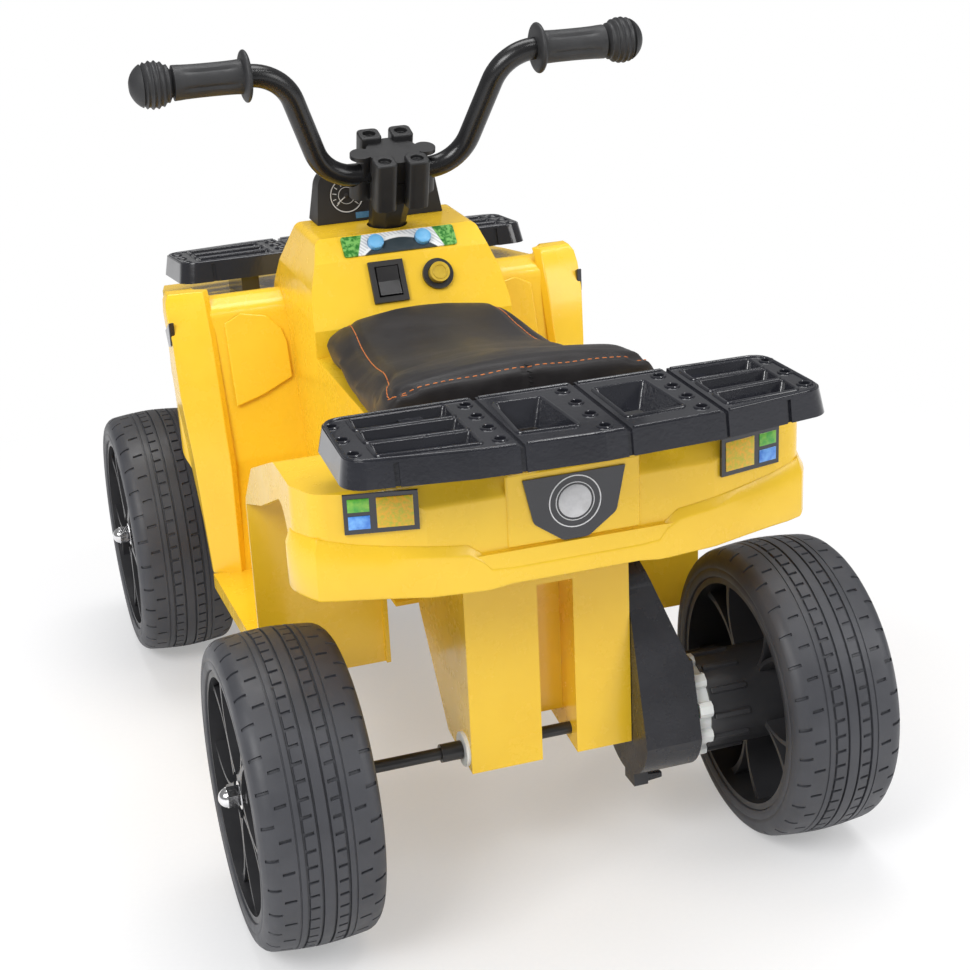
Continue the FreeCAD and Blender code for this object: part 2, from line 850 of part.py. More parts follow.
def knuckle(label):
    """The right knuckle: a sleeve on the kingpin, a stub axle to the right, an arm to the rear."""
    sleeve = rod(label + "_sleeve", "z", S.knuckle_dia / 2, S.knuckle_height, kingpin_x, front_y, knuckle_foot)
    stub = rod(label + "_stub", "x", axle_radius, axle_end - kingpin_x, kingpin_x, front_y, wheel_radius)
    hub_back = wheel_x - half_tyre - S.front_barrel
    thrust = rod(label + "_thrust", "x", S.thrust_dia / 2, hub_back - S.thrust_gap - kingpin_x,
                 kingpin_x, front_y, wheel_radius)
    arm_foot = knuckle_top - S.arm_thick
    bar = block(label + "_bar", kingpin_x - S.arm_width / 2, kingpin_x + S.arm_width / 2,
                tie_y, front_y, arm_foot, knuckle_top)
    eye = rod(label + "_eye", "z", S.arm_width / 2, S.arm_thick, kingpin_x, tie_y, arm_foot)
    bore = rod(label + "_bore", "z", S.kingpin_dia / 2 + S.run_gap, S.knuckle_height + S.overrun * 2,
               kingpin_x, front_y, knuckle_foot - S.overrun)
    hole = rod(label + "_hole", "z", S.tie_pin_dia / 2 + S.run_gap, S.overrun * 2,
               kingpin_x, tie_y, knuckle_top - S.overrun)
    return cut(label, fuse(label + "_whole", sleeve, stub, thrust, bar, eye), bore, hole)


nodes["right_knuckle"] = knuckle("right_knuckle")
nodes["left_knuckle"] = mirror("left_knuckle", knuckle("left_knuckle_source"))

yoke_end = kingpin_x + S.yoke_width / 2 - S.yoke_gap
yoke_start = kingpin_x - S.yoke_reach
half_yoke = S.yoke_width / 2
pieces = []
for word, low in (("top", yoke_top), ("foot", yoke_foot - S.yoke_thick)):
    plate = block("right_yoke_" + word, yoke_start, kingpin_x, front_y - half_yoke, front_y + half_yoke,
                  low, low + S.yoke_thick)
    pieces.append(plate)
    pieces.append(rod("right_yoke_eye_" + word, "z", half_yoke - S.yoke_gap, S.yoke_thick,
                      kingpin_x, front_y, low))
pieces.append(block("right_yoke_back", yoke_start, yoke_start + S.yoke_thick, front_y - half_yoke,
                    front_y + half_yoke, yoke_foot - S.yoke_thick, yoke_top + S.yoke_thick))
right_yoke = fuse("right_yoke", *pieces)
beam_top = wheel_radius + S.beam_height / 2
beam_bar = block("beam_bar", -yoke_start, yoke_start, front_y - S.beam_depth / 2, front_y + S.beam_depth / 2,
                 wheel_radius - S.beam_height / 2, beam_top)
kingpin_foot = yoke_foot - S.yoke_thick
kingpin_length = yoke_top + S.yoke_thick - kingpin_foot
pin_hole = rod("kingpin_hole", "z", S.kingpin_dia / 2 + S.press_gap, kingpin_length + S.overrun * 2,
               kingpin_x, front_y, kingpin_foot - S.overrun)
other_hole = mirror("kingpin_other_hole", pin_hole)
nodes["front_axle_beam"] = cut("front_axle_beam", fuse("beam_whole", beam_bar, right_yoke,
                                                       mirror("left_yoke", right_yoke)), pin_hole, other_hole)
pin_shank = rod("kingpin_shank", "z", S.kingpin_dia / 2, kingpin_length, kingpin_x, front_y, kingpin_foot)
pin_head = rod("kingpin_head_disc", "z", S.kingpin_head_dia / 2, S.kingpin_head, kingpin_x, front_y,
               kingpin_foot + kingpin_length)
nodes["kingpins"] = twin("kingpins", fuse("kingpin", pin_shank, pin_head))

# Tie rod: a flat bar over the knuckle arms, with a raked hole for the crank pin
half_tie = S.tie_width / 2
tie_foot = tie_z - S.tie_thick / 2
tie_bar = block("tie_bar", -kingpin_x, kingpin_x, tie_y - half_tie, tie_y + half_tie,
                tie_foot, tie_foot + S.tie_thick)
tie_pin_length = S.arm_thick + S.tie_gap * 2
pieces = [tie_bar, rod("tie_eye", "z", S.tie_eye_dia / 2, S.tie_thick, 0, tie_y, tie_foot)]
for word, across in (("left", -kingpin_x), ("right", kingpin_x)):
    pieces.append(rod("tie_end_" + word, "z", half_tie, S.tie_thick, across, tie_y, tie_foot))
    pieces.append(rod("tie_pin_" + word, "z", S.tie_pin_dia / 2, tie_pin_length, across, tie_y,
                      tie_foot - tie_pin_length))
crank_hole_radius = S.crank_dia / 2 + S.crank_pin_gap
crank_hole = new("Part::Cylinder", "crank_hole")
bind(crank_hole, "Radius", crank_hole_radius)
bind(crank_hole, "Height", S.overrun * 2)
place(crank_hole, 0, tie_y + S.overrun * rake_sin, tie_z - S.overrun * rake_cos, (1, 0, 0), rake_angle)
nodes["tie_rod"] = cut("tie_rod", fuse("tie_whole", *pieces), crank_hole)


# Steering: pieces drawn about the column's top, then raked with the column or leaned with the handlebar
def raked(thing):
    return place(thing, 0, S.column_y, S.column_z, (1, 0, 0), rake_angle)


def leaned(thing):
    return place(thing, 0, S.column_y, S.column_z, (1, 0, 0), S.bar_lean)


crank_level = pin_level + S.crank_rise
shaft_top = -S.clamp_half_height - S.press_gap
shaft_radius = S.column_dia / 2
shaft = rod("column_shaft", "z", shaft_radius, shaft_top - crank_level + shaft_radius,
            0, 0, crank_level - shaft_radius)
crank = rod("column_crank", "y", S.crank_dia / 2, crank_length, 0, -crank_length, crank_level)
crank_tail = S.crank_rise + S.crank_pin_tail
crank_pin = rod("column_crank_pin", "z", S.crank_dia / 2, crank_tail + shaft_radius,
                0, -crank_length, crank_level - crank_tail)
nodes["steering_column"] = raked(fuse("steering_column", shaft, crank, crank_pin))

bar_radius = S.bar_dia / 2
half_turn = S.bar_leg_angle / 2
bend_run = S.bar_bend_radius * tangent(half_turn)
bend_out = S.bar_bend_x + S.bar_rise / tangent(S.bar_leg_angle)
leg_x = bend_run * cosine(S.bar_leg_angle)
leg_z = bend_run * sine(S.bar_leg_angle)
half_path = [(S.bar_bend_x - bend_run, 0), (S.bar_bend_x + leg_x, leg_z),
             (bend_out - leg_x, S.bar_rise - leg_z), (bend_out + bend_run, S.bar_rise), (S.bar_half, S.bar_rise)]


def bent_bar(label):
    """The handlebar: a round tube along a path with four bends."""
    body = new("PartDesign::Body", label)
    path = body.newObject("Sketcher::SketchObject", label + "_path")
    path.AttachmentSupport = ([f for f in body.Origin.OriginFeatures if f.Role == "XZ_Plane"][0], [""])
    path.MapMode = "FlatFace"
    spots = [(-u, v) for u, v in reversed(half_path)] + half_path
    bends = {1: -S.bar_bend_radius, 3: S.bar_bend_radius, 5: S.bar_bend_radius, 7: -S.bar_bend_radius}
    draw_path(path, spots, bends)
    ring = body.newObject("Sketcher::SketchObject", label + "_ring")
    ring.AttachmentSupport = ([f for f in body.Origin.OriginFeatures if f.Role == "YZ_Plane"][0], [""])
    ring.MapMode = "FlatFace"
    bind(ring, "AttachmentOffset.Base.z", -S.bar_half)
    for radius in (bar_radius, bar_radius - S.bar_wall):
        middle = FreeCAD.Vector(0, S.bar_rise.number, 0)
        index = ring.addGeometry(Part.Circle(middle, FreeCAD.Vector(0, 0, 1), radius.number), False)
        ring.addConstraint(Sketcher.Constraint("PointOnObject", index, 3, -2))
        pin(ring, "DistanceY", -1, index, 3, S.bar_rise)
        spot = ring.addConstraint(Sketcher.Constraint("Radius", index, radius.number))
        bind(ring, "Constraints[%d]" % spot, radius)
    doc.recompute()
    pipe = body.newObject("PartDesign::AdditivePipe", label + "_pipe")
    pipe.Profile = ring
    pipe.Spine = path
    return body


def draw_path(sketch, spots, bends):
    """Draw an open path of lines, with arcs where a bend is named."""
    ends = []
    for i in range(len(spots) - 1):
        a = FreeCAD.Vector(as_size(spots[i][0]).number, as_size(spots[i][1]).number, 0)
        b = FreeCAD.Vector(as_size(spots[i + 1][0]).number, as_size(spots[i + 1][1]).number, 0)
        if i not in bends:
            sketch.addGeometry(Part.LineSegment(a, b), False)
            ends.append((1, 2))
            continue
        bend = bends[i].number
        half = (b - a) / 2
        side = FreeCAD.Vector(-half.y, half.x, 0).normalize()
        rise = math.sqrt(bend * bend - half.Length ** 2)
        middle = a + half + side * (rise if bend > 0 else -rise)
        begin, finish = (a, b) if bend > 0 else (b, a)
        circle = Part.Circle(middle, FreeCAD.Vector(0, 0, 1), abs(bend))
        turn_a = math.atan2(begin.y - middle.y, begin.x - middle.x)
        turn_b = math.atan2(finish.y - middle.y, finish.x - middle.x)
        index = sketch.addGeometry(Part.ArcOfCircle(circle, turn_a, turn_b), False)
        ends.append((1, 2) if bend > 0 else (2, 1))
        spot = sketch.addConstraint(Sketcher.Constraint("Radius", index, abs(bend)))
        bind(sketch, "Constraints[%d]" % spot, bends[i] if bend > 0 else -bends[i])
    for i in range(len(ends) - 1):
        sketch.addConstraint(Sketcher.Constraint("Coincident", i, ends[i][1], i + 1, ends[i + 1][0]))
    for i in range(len(ends)):
        pin(sketch, "DistanceX", -2, i, ends[i][0], as_size(spots[i][0]))
        pin(sketch, "DistanceY", -1, i, ends[i][0], as_size(spots[i][1]))
    pin(sketch, "DistanceX", -2, len(ends) - 1, ends[-1][1], as_size(spots[-1][0]))
    pin(sketch, "DistanceY", -1, len(ends) - 1, ends[-1][1], as_size(spots[-1][1]))


nodes["handlebar"] = leaned(bent_bar("handlebar"))


def grip(label):
    """A grip with a flange, a waisted body and a ribbed ball end, closed over the tube."""
    bore = bar_radius + S.press_gap
    waist = (S.grip_start + S.grip_ball_start) / 2
    ball = S.grip_ball_dia / 2
    outline = [(S.grip_start, bore), (S.grip_start, S.grip_flange_dia / 2)]
    outline += [(S.grip_start + S.grip_flange, S.grip_flange_dia / 2)]
    outline += [(S.grip_start + S.grip_flange * 2, S.grip_dia / 2), (waist, S.grip_waist_dia / 2)]
    outline += [(S.grip_ball_start, S.grip_dia / 2)]
    for i in range(4):
        rib = S.grip_ball_start + S.grip_rib_pitch * i
        outline += [(rib, ball - S.grip_rib_depth), (rib, ball)]
        outline += [(rib + S.grip_rib, ball), (rib + S.grip_rib, ball - S.grip_rib_depth)]
    dome = S.grip_ball_start + S.grip_rib_pitch * 4
    outline += [(dome, ball - S.grip_rib_depth, -ball), (dome + ball - S.grip_rib_depth * 2, 0)]
    outline += [(S.bar_half + S.press_gap, 0), (S.bar_half + S.press_gap, bore)]
    body = turned(label + "_body", outline)
    place(body, 0, 0, S.bar_rise)
    return body


nodes["right_grip"] = leaned(together("right_grip", grip("right_grip")))
nodes["left_grip"] = leaned(together("left_grip", mirror("left_grip_mirror", grip("left_grip"))))


def clamp_half(label, low):
    """Half of the clamp: a hub with six bosses around it, from a level up."""
    height = S.clamp_half_height - S.clamp_split / 2
    pieces = [rod(label + "_hub", "z", S.clamp_hub_dia / 2, height, 0, 0, low)]
    for i in range(6):
        angle = Size(60 * i, str(60 * i))
        pieces.append(rod("%s_boss_%d" % (label, i), "z", S.clamp_boss_dia / 2, height,
                          S.clamp_ring_radius * cosine(angle), S.clamp_ring_radius * sine(angle), low))
    return pieces


def clamp_rods(label, radius, low, length):
    rods = []
    for i in (1, 2, 4, 5):
        angle = Size(60 * i, str(60 * i))
        rods.append(rod("%s_%d" % (label, i), "z", radius, length, S.clamp_ring_radius * cosine(angle),
                        S.clamp_ring_radius * sine(angle), low))
    return rods


clamp_reach = S.clamp_ring_radius + S.clamp_boss_dia
bar_bore = bar_radius + S.press_gap
tube_hole = turned("clamp_tube_hole", [(-clamp_reach, 0), (-clamp_reach, bar_bore), (clamp_reach, bar_bore),
                                       (clamp_reach, 0)])
tube_bends = []
for word, across in (("left", -1), ("right", 1)):
    tube_bends.append(block("clamp_bend_" + word, -clamp_reach if across < 0 else S.clamp_ring_radius,
                            -S.clamp_ring_radius if across < 0 else clamp_reach,
                            -bar_bore, bar_bore, 0, S.clamp_half_height - S.clamp_head))
stem = new("Part::Cone", "clamp_stem")
bind(stem, "Radius1", S.stem_foot_dia / 2)
bind(stem, "Radius2", S.stem_top_dia / 2)
bind(stem, "Height", S.stem_length + S.stem_lap)
place(stem, 0, 0, -S.clamp_half_height - S.stem_length)
stem_bore = rod("clamp_stem_bore", "z", shaft_radius + S.press_gap, S.stem_length + S.overrun,
                0, 0, -S.clamp_half_height - S.stem_length - S.overrun)
screw_hole_radius = S.clamp_screw_dia / 2 + S.press_gap
base_holes = clamp_rods("clamp_base_hole", screw_hole_radius, -S.clamp_half_height / 2 - S.press_gap,
                        S.clamp_half_height)
base_hub = leaned(together("clamp_base_hub", fuse("clamp_base_ring", *clamp_half("clamp_base", -S.clamp_half_height))))
base_whole = fuse("clamp_base_whole", base_hub, raked(together("clamp_stem_raked", stem)))
base_tools = leaned(together("clamp_base_tools", fuse("clamp_base_drills", tube_hole, *base_holes)))
nodes["clamp_base"] = cut("clamp_base", base_whole, base_tools, raked(together("clamp_stem_drill", stem_bore)))
cap_holes = clamp_rods("clamp_cap_hole", screw_hole_radius, -S.clamp_half_height, S.clamp_half_height * 3)
sinks = clamp_rods("clamp_cap_sink", S.clamp_head_dia / 2 + S.press_gap, S.clamp_half_height - S.clamp_head_sink,
                   S.overrun)
cap_whole = fuse("clamp_cap_whole", *clamp_half("clamp_cap", S.clamp_split / 2))
nodes["clamp_cap"] = leaned(cut("clamp_cap", cap_whole, tube_hole, *tube_bends, *cap_holes, *sinks))
shanks = clamp_rods("clamp_shank", S.clamp_screw_dia / 2, -S.clamp_half_height / 2,
                    S.clamp_half_height * 3 / 2 - S.clamp_head_sink)
heads = clamp_rods("clamp_head", S.clamp_head_dia / 2, S.clamp_half_height - S.clamp_head_sink, S.clamp_head)
nodes["clamp_screws"] = leaned(fuse("clamp_screws", *shanks, *heads))

# Upper body: a tunnel with the dash, a front fender block and a rear one, hollowed from below
wall = S.body_wall
inside_half = S.tunnel_half - wall


def tunnel_profile(inset):
    """The tunnel seen from its left: the outer face, or the inner one when inset."""
    foot = tunnel_foot if inset is None else tunnel_foot - S.overrun
    gap = 0 if inset is None else inset
    return [
        (S.tunnel_rear_y + gap, foot), (S.tunnel_rear_y + gap, S.deck_z - gap),
        (S.deck_front_y, S.deck_z - gap), (S.saddle_rise_y, S.saddle_z - gap),
        (S.dash_foot_y + gap, S.saddle_z - gap), (S.dash_foot_y + gap, S.dash_foot_z - gap / 2),
        (S.dash_knee_y + gap, S.dash_knee_z - gap / 2), (S.dash_top_y + gap, S.dash_top_z - gap),
        (S.dash_front_y - gap / 2, S.dash_top_z - gap), (S.hood_y - gap / 2, S.hood_z - gap),
        (S.hood_front_y - gap, S.hood_front_z - gap), (S.nose_y - gap, S.nose_z),
        (S.nose_foot_y - gap, S.nose_foot_z), (S.hood_front_y - gap, foot),
    ]


def tunnel_front(inset):
    """The tunnel seen from the rear: straight sides, drawn in beside the dash."""
    foot = tunnel_foot - S.overrun * 2
    gap = 0 if inset is None else inset
    top = S.dash_top_z - gap
    return [
        (-S.tunnel_half + gap, foot), (S.tunnel_half - gap, foot), (S.tunnel_half - gap, S.dash_low_z),
        (S.dash_low_half - gap, S.dash_low_z + S.overrun), (S.dash_top_half - gap, top),
        (gap - S.dash_top_half, top), (gap - S.dash_low_half, S.dash_low_z + S.overrun),
        (gap - S.tunnel_half, S.dash_low_z),
    ]


tunnel_length = S.nose_y - S.tunnel_rear_y
tunnel_side = pad("tunnel_side", "YZ", tunnel_profile(None), -S.tunnel_half, S.tunnel_half * 2,
                  [((10, 11), S.corner_round)])
tunnel_end = pad("tunnel_end", "XZ", tunnel_front(None), S.tunnel_rear_y - S.overrun,
                 tunnel_length + S.overrun * 2, [((4, 5), S.edge_round)])
tunnel = common("tunnel", tunnel_side, tunnel_end)
tunnel_side_in = pad("tunnel_side_in", "YZ", tunnel_profile(wall), -inside_half, inside_half * 2)
tunnel_end_in = pad("tunnel_end_in", "XZ", tunnel_front(wall), S.tunnel_rear_y - S.overrun,
                    tunnel_length + S.overrun * 2)
tunnel_hollow = common("tunnel_hollow", tunnel_side_in, tunnel_end_in)


def front_profile(gap):
    """The front fenders seen from the left: leg shield, crest, top and front apron."""
    foot = S.shield_foot_z if gap == 0 else S.shield_foot_z - S.overrun
    apron_foot = S.apron_foot_z if gap == 0 else S.shield_foot_z - S.overrun
    return [
        (S.shield_foot_y + gap, foot), (S.shield_knee_y + gap, S.shield_knee_z),
        (S.shield_top_y + gap, S.shield_top_z - gap), (S.fender_crest_y + gap / 2, S.fender_crest_z - gap),
        (S.hood_y, S.hood_z - gap), (S.hood_front_y - gap / 2, S.hood_front_z - gap),
        (S.apron_front_y - gap, S.apron_front_z), (S.apron_front_y - gap, apron_foot),
    ]


def front_plan(gap):
    """The front fenders seen from above: narrower at the leg shields and at the lamps."""
    rear = S.shield_foot_y - S.overrun
    far = S.apron_front_y
    half = S.fender_half - gap
    right = [(S.fender_rear_half - gap, rear), (S.fender_rear_half - gap, S.shield_knee_y),
             (half, S.fender_corner_y), (S.fender_front_half - gap, S.front_corner_y - S.overrun * 2),
             (S.front_corner_half - gap, S.front_corner_y - gap / 2), (S.front_light_half, far - gap)]
    return right + [(-u, v) for u, v in reversed(right)]


span = S.fender_half * 2
front_side = pad("front_side", "YZ", front_profile(0), -S.fender_half, span,
                 [((1, 2, 3), S.corner_round), ((5, 6), S.corner_round)])
front_over = pad("front_over", "XY", front_plan(0), 0, S.dash_top_z, [((2, 3, 8, 9), S.corner_round)])
front_block = common("front_block", front_side, front_over)
front_side_in = pad("front_side_in", "YZ", front_profile(wall), -S.fender_half, span)
front_over_in = pad("front_over_in", "XY", front_plan(wall), 0, S.dash_top_z)
front_hollow = cut("front_hollow", common("front_inner", front_side_in, front_over_in),
                   block("front_keep", -S.tunnel_half, S.tunnel_half, 0, track_outer, 0, S.dash_top_z))
front_arch = rod("front_arch", "x", S.front_arch_radius, track_outer, -track_outer / 2, front_y, wheel_radius)
arch_shield = block("front_arch_shield", -track_outer / 2, track_outer / 2,
                    S.shield_foot_y - S.overrun, S.shield_knee_y + wall * 2, 0, S.dash_top_z)
arch_keep = block("front_arch_keep", -S.tunnel_half, S.tunnel_half, 0, track_outer, 0, S.dash_top_z)
front_arch_cut = cut("front_arch_cut", front_arch, arch_keep, arch_shield)


def rear_profile(gap):
    """The rear fenders seen from the left: footwell wall, rising top, deck and tail apron."""
    foot = S.board_rear_z - S.board_lip if gap == 0 else S.board_rear_z - S.overrun
    return [
        (S.well_wall_y - gap, foot), (S.well_wall_y - gap, S.well_top_z - gap / 2),
        (S.well_knee_y - gap / 2, S.well_knee_z - gap), (S.deck_front_y, S.tail_crest_z - gap),
        (S.tail_top_y + gap / 2, S.tail_crest_z - gap), (S.tail_y + gap, S.tail_crest_z - S.corner_round),
        (S.tail_y + gap, foot),
    ]


def rear_plan(gap):
    """The rear fenders seen from above: the tail is drawn in at the lights and corners."""
    front = S.well_wall_y + S.overrun
    right = [(S.tail_half - gap, front), (S.tail_half - gap, S.tail_side_y),
             (S.tail_corner_half - gap / 2, S.tail_corner_y + gap), (S.tail_light_half, S.tail_y + gap)]
    return right + [(-u, v) for u, v in reversed(right)]


rear_span = S.tail_half * 2
rear_side = pad("rear_side", "YZ", rear_profile(0), -S.tail_half, rear_span,
                [((1, 2, 3), S.corner_round), ((4, 5), S.edge_round)])
rear_over = pad("rear_over", "XY", rear_plan(0), 0, S.dash_top_z, [((1, 2, 5, 6), S.corner_round)])
rear_block = common("rear_block", rear_side, rear_over)
rear_side_in = pad("rear_side_in", "YZ", rear_profile(wall), -S.tail_half, rear_span)
rear_over_in = pad("rear_over_in", "XY", rear_plan(wall), 0, S.dash_top_z)
tunnel_keep = block("rear_keep", -S.tunnel_half, S.tunnel_half, S.tunnel_rear_y, 0, 0, S.dash_top_z)
rear_hollow = cut("rear_hollow", common("rear_inner", rear_side_in, rear_over_in), tunnel_keep)
well_back = S.well_wall_y - wall
rear_arch_outline = [
    (well_back, 0), (well_back, S.arch_front_z), (S.arch_mid_y, S.arch_mid_z), (S.arch_rear_y, S.arch_rear_z),
    (S.arch_tail_y, S.tail_foot_z + S.overrun), (S.arch_tail_y, 0)]
rear_arch = cut("rear_arch", pad("rear_arch_whole", "YZ", rear_arch_outline, -track_outer / 2, track_outer,
                                 [((3, 4), S.corner_round)]), tunnel_keep)
tail_skirt_cut = block("tail_skirt_cut", -track_outer / 2, track_outer / 2, S.tail_y - S.overrun,
                       S.arch_tail_y + S.overrun, 0, S.tail_foot_z)
well_trim = block("well_trim", S.board_half, track_outer, S.well_wall_y - S.overrun,
                  S.well_wall_y + S.overrun, 0, S.board_rear_z)

# A raised band along the foot of the tail
tail_band = cut("tail_band",
                pad("tail_band_whole", "XY", rear_plan(-S.tail_band), S.tail_foot_z, S.tail_band_height),
                pad("tail_band_core", "XY", rear_plan(wall), 0, S.dash_top_z),
                block("tail_band_front", -track_outer, track_outer, S.arch_tail_y, 0, 0, S.dash_top_z))

# Footboards with a lip along the outer edge
board_outline = [
    (S.shield_foot_y + wall, S.board_front_z), (S.well_wall_y - wall, S.board_rear_z),
    (S.well_wall_y - wall, S.board_rear_z - S.board_thick), (S.shield_foot_y + wall, S.board_front_z - S.board_thick)]
lip_outline = [
    (S.shield_foot_y + wall, S.board_front_z), (S.well_wall_y - wall, S.board_rear_z),
    (S.well_wall_y - wall, S.board_rear_z - S.board_lip), (S.shield_foot_y + wall, S.board_front_z - S.board_lip)]
board_start = S.tunnel_half - wall
riser_outline = [
    (S.shield_foot_y + wall, S.board_front_z - S.board_thick),
    (S.well_wall_y - wall, S.board_rear_z - S.board_thick),
    (S.well_wall_y - wall, tunnel_foot + wall), (S.shield_foot_y + wall, tunnel_foot + wall)]
right_board = fuse("right_board", pad("right_board_riser", "YZ", riser_outline, board_start, wall),
                   pad("right_board_plate", "YZ", board_outline, board_start, S.board_half - board_start),
                   pad("right_board_lip", "YZ", lip_outline, S.board_half - wall, wall))
left_board = mirror("left_board", right_board)

board_slope = (S.board_rear_z - S.board_front_z) / (S.shield_foot_y + wall - S.well_wall_y + wall)


def board_z(y):
    return S.board_rear_z - board_slope * (y - S.well_wall_y + wall)


# Ears on the right footboard, for the pedal's trunnions
pedal_left = S.pedal_x - S.pedal_width / 2
pedal_right = S.pedal_x + S.pedal_width / 2
ears = []
for word, start in (("left", pedal_left - S.pedal_ear_gap - S.pedal_ear), ("right", pedal_right + S.pedal_ear_gap)):
    ears.append(block("pedal_ear_" + word, start, start + S.pedal_ear, S.pedal_rear_y - S.pedal_ear,
                      S.pedal_rear_y + S.pedal_ear, board_z(S.pedal_rear_y) - S.board_thick / 2,
                      S.pedal_hinge_z + S.pedal_ear))
trunnion_length = S.pedal_width + (S.pedal_ear_gap + S.pedal_ear) * 2
trunnion_start = pedal_left - S.pedal_ear_gap - S.pedal_ear
ear_holes = [rod("pedal_ear_hole", "x", S.pedal_pin_dia / 2 + S.run_gap, trunnion_length + S.overrun,
                 trunnion_start - S.overrun / 2, S.pedal_rear_y, S.pedal_hinge_z)]

# Bosses that carry the lower body's screws
bosses = []
for word, across, way in (("a", S.boss_x, S.boss_front_y), ("b", -S.boss_x, S.boss_front_y),
                          ("c", S.boss_x, S.boss_rear_y), ("d", -S.boss_x, S.boss_rear_y)):
    foot = pan_z + S.pan_thick
    post = rod("boss_" + word, "z", S.boss_dia / 2, S.saddle_z - wall / 2 - foot, across, way, foot)
    bore = rod("boss_bore_" + word, "z", S.screw_dia / 2 + S.screw_gap, S.screw_reach + S.screw_gap,
               across, way, foot)
    bosses.append(cut("boss_drilled_" + word, post, bore))

# The dash faces: the lower one carries the rocker and the button, the upper one the sound panel
low_face = math.degrees(math.atan2(SIZES["dash_knee_z"] - SIZES["dash_foot_z"],
                                   SIZES["dash_knee_y"] - SIZES["dash_foot_y"]))
high_face = math.degrees(math.atan2(SIZES["dash_top_z"] - SIZES["dash_knee_z"],
                                    SIZES["dash_top_y"] - SIZES["dash_knee_y"]))


def on_low_face(thing):
    return place(thing, 0, S.dash_foot_y, S.dash_foot_z, (1, 0, 0), low_face)


def on_high_face(thing):
    return place(thing, 0, S.dash_knee_y, S.dash_knee_z, (1, 0, 0), high_face)


half_rocker = S.rocker_width / 2 - S.rocker_frame / 2
rocker_reach = S.rocker_height / 2 - S.rocker_frame / 2
rocker_hole = on_low_face(together("rocker_hole", block(
    "rocker_hole_block", S.rocker_x - half_rocker, S.rocker_x + half_rocker, S.rocker_v - rocker_reach,
    S.rocker_v + rocker_reach, -S.overrun, S.overrun)))
bezel_neck = S.button_dia / 2 + S.button_gap + S.button_wall
button_hole = on_low_face(together("button_hole", rod(
    "button_hole_rod", "z", bezel_neck + S.press_gap, S.overrun * 2, S.button_x, S.button_v, -S.overrun)))
sound_holes = on_high_face(together("sound_holes", *[
    rod("sound_hole_" + word, "z", S.sound_button_dia / 2 + S.sound_button_flange + S.button_gap, S.overrun,
        across, S.sound_button_v, -S.overrun / 2)
    for word, across in (("left", -S.sound_button_x), ("right", S.sound_button_x))]))
stem_hole = raked(together("stem_hole", rod("stem_hole_rod", "z", S.stem_top_dia / 2 + S.stem_hole_gap,
                                            S.stem_length * 2, 0, 0, -S.clamp_half_height - S.stem_length * 2)))
hatch = block("hatch", -S.hatch_half, S.hatch_half, S.hatch_rear_y, S.hatch_front_y,
              S.saddle_z - S.overrun / 2, S.saddle_z + S.overrun)
socket_hole = rod("socket_hole", "x", S.socket_dia / 2 + S.press_gap, S.overrun * 2,
                  S.tunnel_half - S.overrun, S.socket_y, S.socket_z)
tail_open = block("tail_open", -S.tunnel_half - wall, S.tunnel_half + wall, S.tunnel_rear_y - wall,
                  well_back - wall, 0, S.tail_open_z)

front_shell = cut("front_shell", front_block, front_hollow, front_arch_cut)
rear_shell = cut("rear_shell", rear_block, rear_hollow, rear_arch, tail_skirt_cut, well_trim,
                 mirror("well_trim_other", well_trim))
outer = fuse("body_outer", tunnel, front_shell, rear_shell, tail_band, right_board, left_board)
hollow = cut("body_hollowed", outer, tunnel_hollow)
body_whole = fuse("body_whole", hollow, *bosses, *ears)
nodes["main_body"] = cut("main_body", body_whole, rocker_hole, button_hole, sound_holes, stem_hole, hatch,
                         socket_hole, tail_open, *ear_holes)

# Lower body: a pan inside the tunnel, the rear axle box with its two legs, and the front bracket
pan_half = inside_half - S.pan_gap
pan_top = pan_z + S.pan_thick
pan = block("pan", -pan_half, pan_half, S.pan_rear_y, S.pan_front_y, pan_z, pan_top)


box_foot = wheel_radius - S.box_foot_drop
box_step = wheel_radius - S.box_step_drop
box_floor = wheel_radius + S.box_floor_lift
box_knee = pan_z - S.box_knee_drop
channel_floor = wheel_radius + S.channel_floor_lift


def box_profile(gap):
    top = S.box_top_z if gap == 0 else S.box_top_z + S.overrun
    foot = box_foot if gap == 0 else box_floor
    step = box_step if gap == 0 else box_floor
    return [(S.box_rear_y + gap, foot), (S.box_step_y + gap, step), (S.box_knee_y - gap, box_knee + gap),
            (S.box_front_y - gap, S.box_brow_z), (S.box_front_y - gap, top), (S.box_rear_y + gap, top)]


box = pad("box", "YZ", box_profile(0), -S.box_half, S.box_half * 2)
box_in = pad("box_in", "YZ", box_profile(wall), wall - S.box_half, (S.box_half - wall) * 2)
channel_back = S.box_rear_y + S.channel_depth
channel_wall = block("channel_wall", S.channel_left - wall, S.channel_right + wall, S.box_rear_y,
                     channel_back + wall, box_floor - wall, S.channel_top_z + wall)
channel = block("channel", S.channel_left, S.channel_right, S.box_rear_y - S.overrun, channel_back,
                box_foot - S.overrun, S.channel_top_z)
channel_low = block("channel_low", S.channel_left, S.channel_right, S.box_rear_y - S.overrun,
                    S.box_front_y, box_foot - S.overrun, channel_floor)
axle_bore = rod("axle_bore", "x", axle_radius + S.press_gap, S.box_half * 2 + S.overrun, -S.box_half - S.overrun / 2,
                rear_y, wheel_radius)
bush_bores = [rod("bush_bore_" + word, "x", S.axle_bush_dia / 2 + S.press_gap, S.axle_bush_length + S.overrun,
                  across, rear_y, wheel_radius)
              for word, across in (("left", -S.box_half - S.overrun), ("right", -bush_back))]
rise = S.pinion_teeth + S.wheel_gear_teeth
first_rise = S.gear_module * rise / 2
mid_rise = S.gear_module * (S.pinion_teeth + S.mid_gear_teeth) / 2
lean_sin = sine(S.gear_lean)
lean_cos = cosine(S.gear_lean)
second_y = rear_y + first_rise * lean_sin
second_z = wheel_radius + first_rise * lean_cos
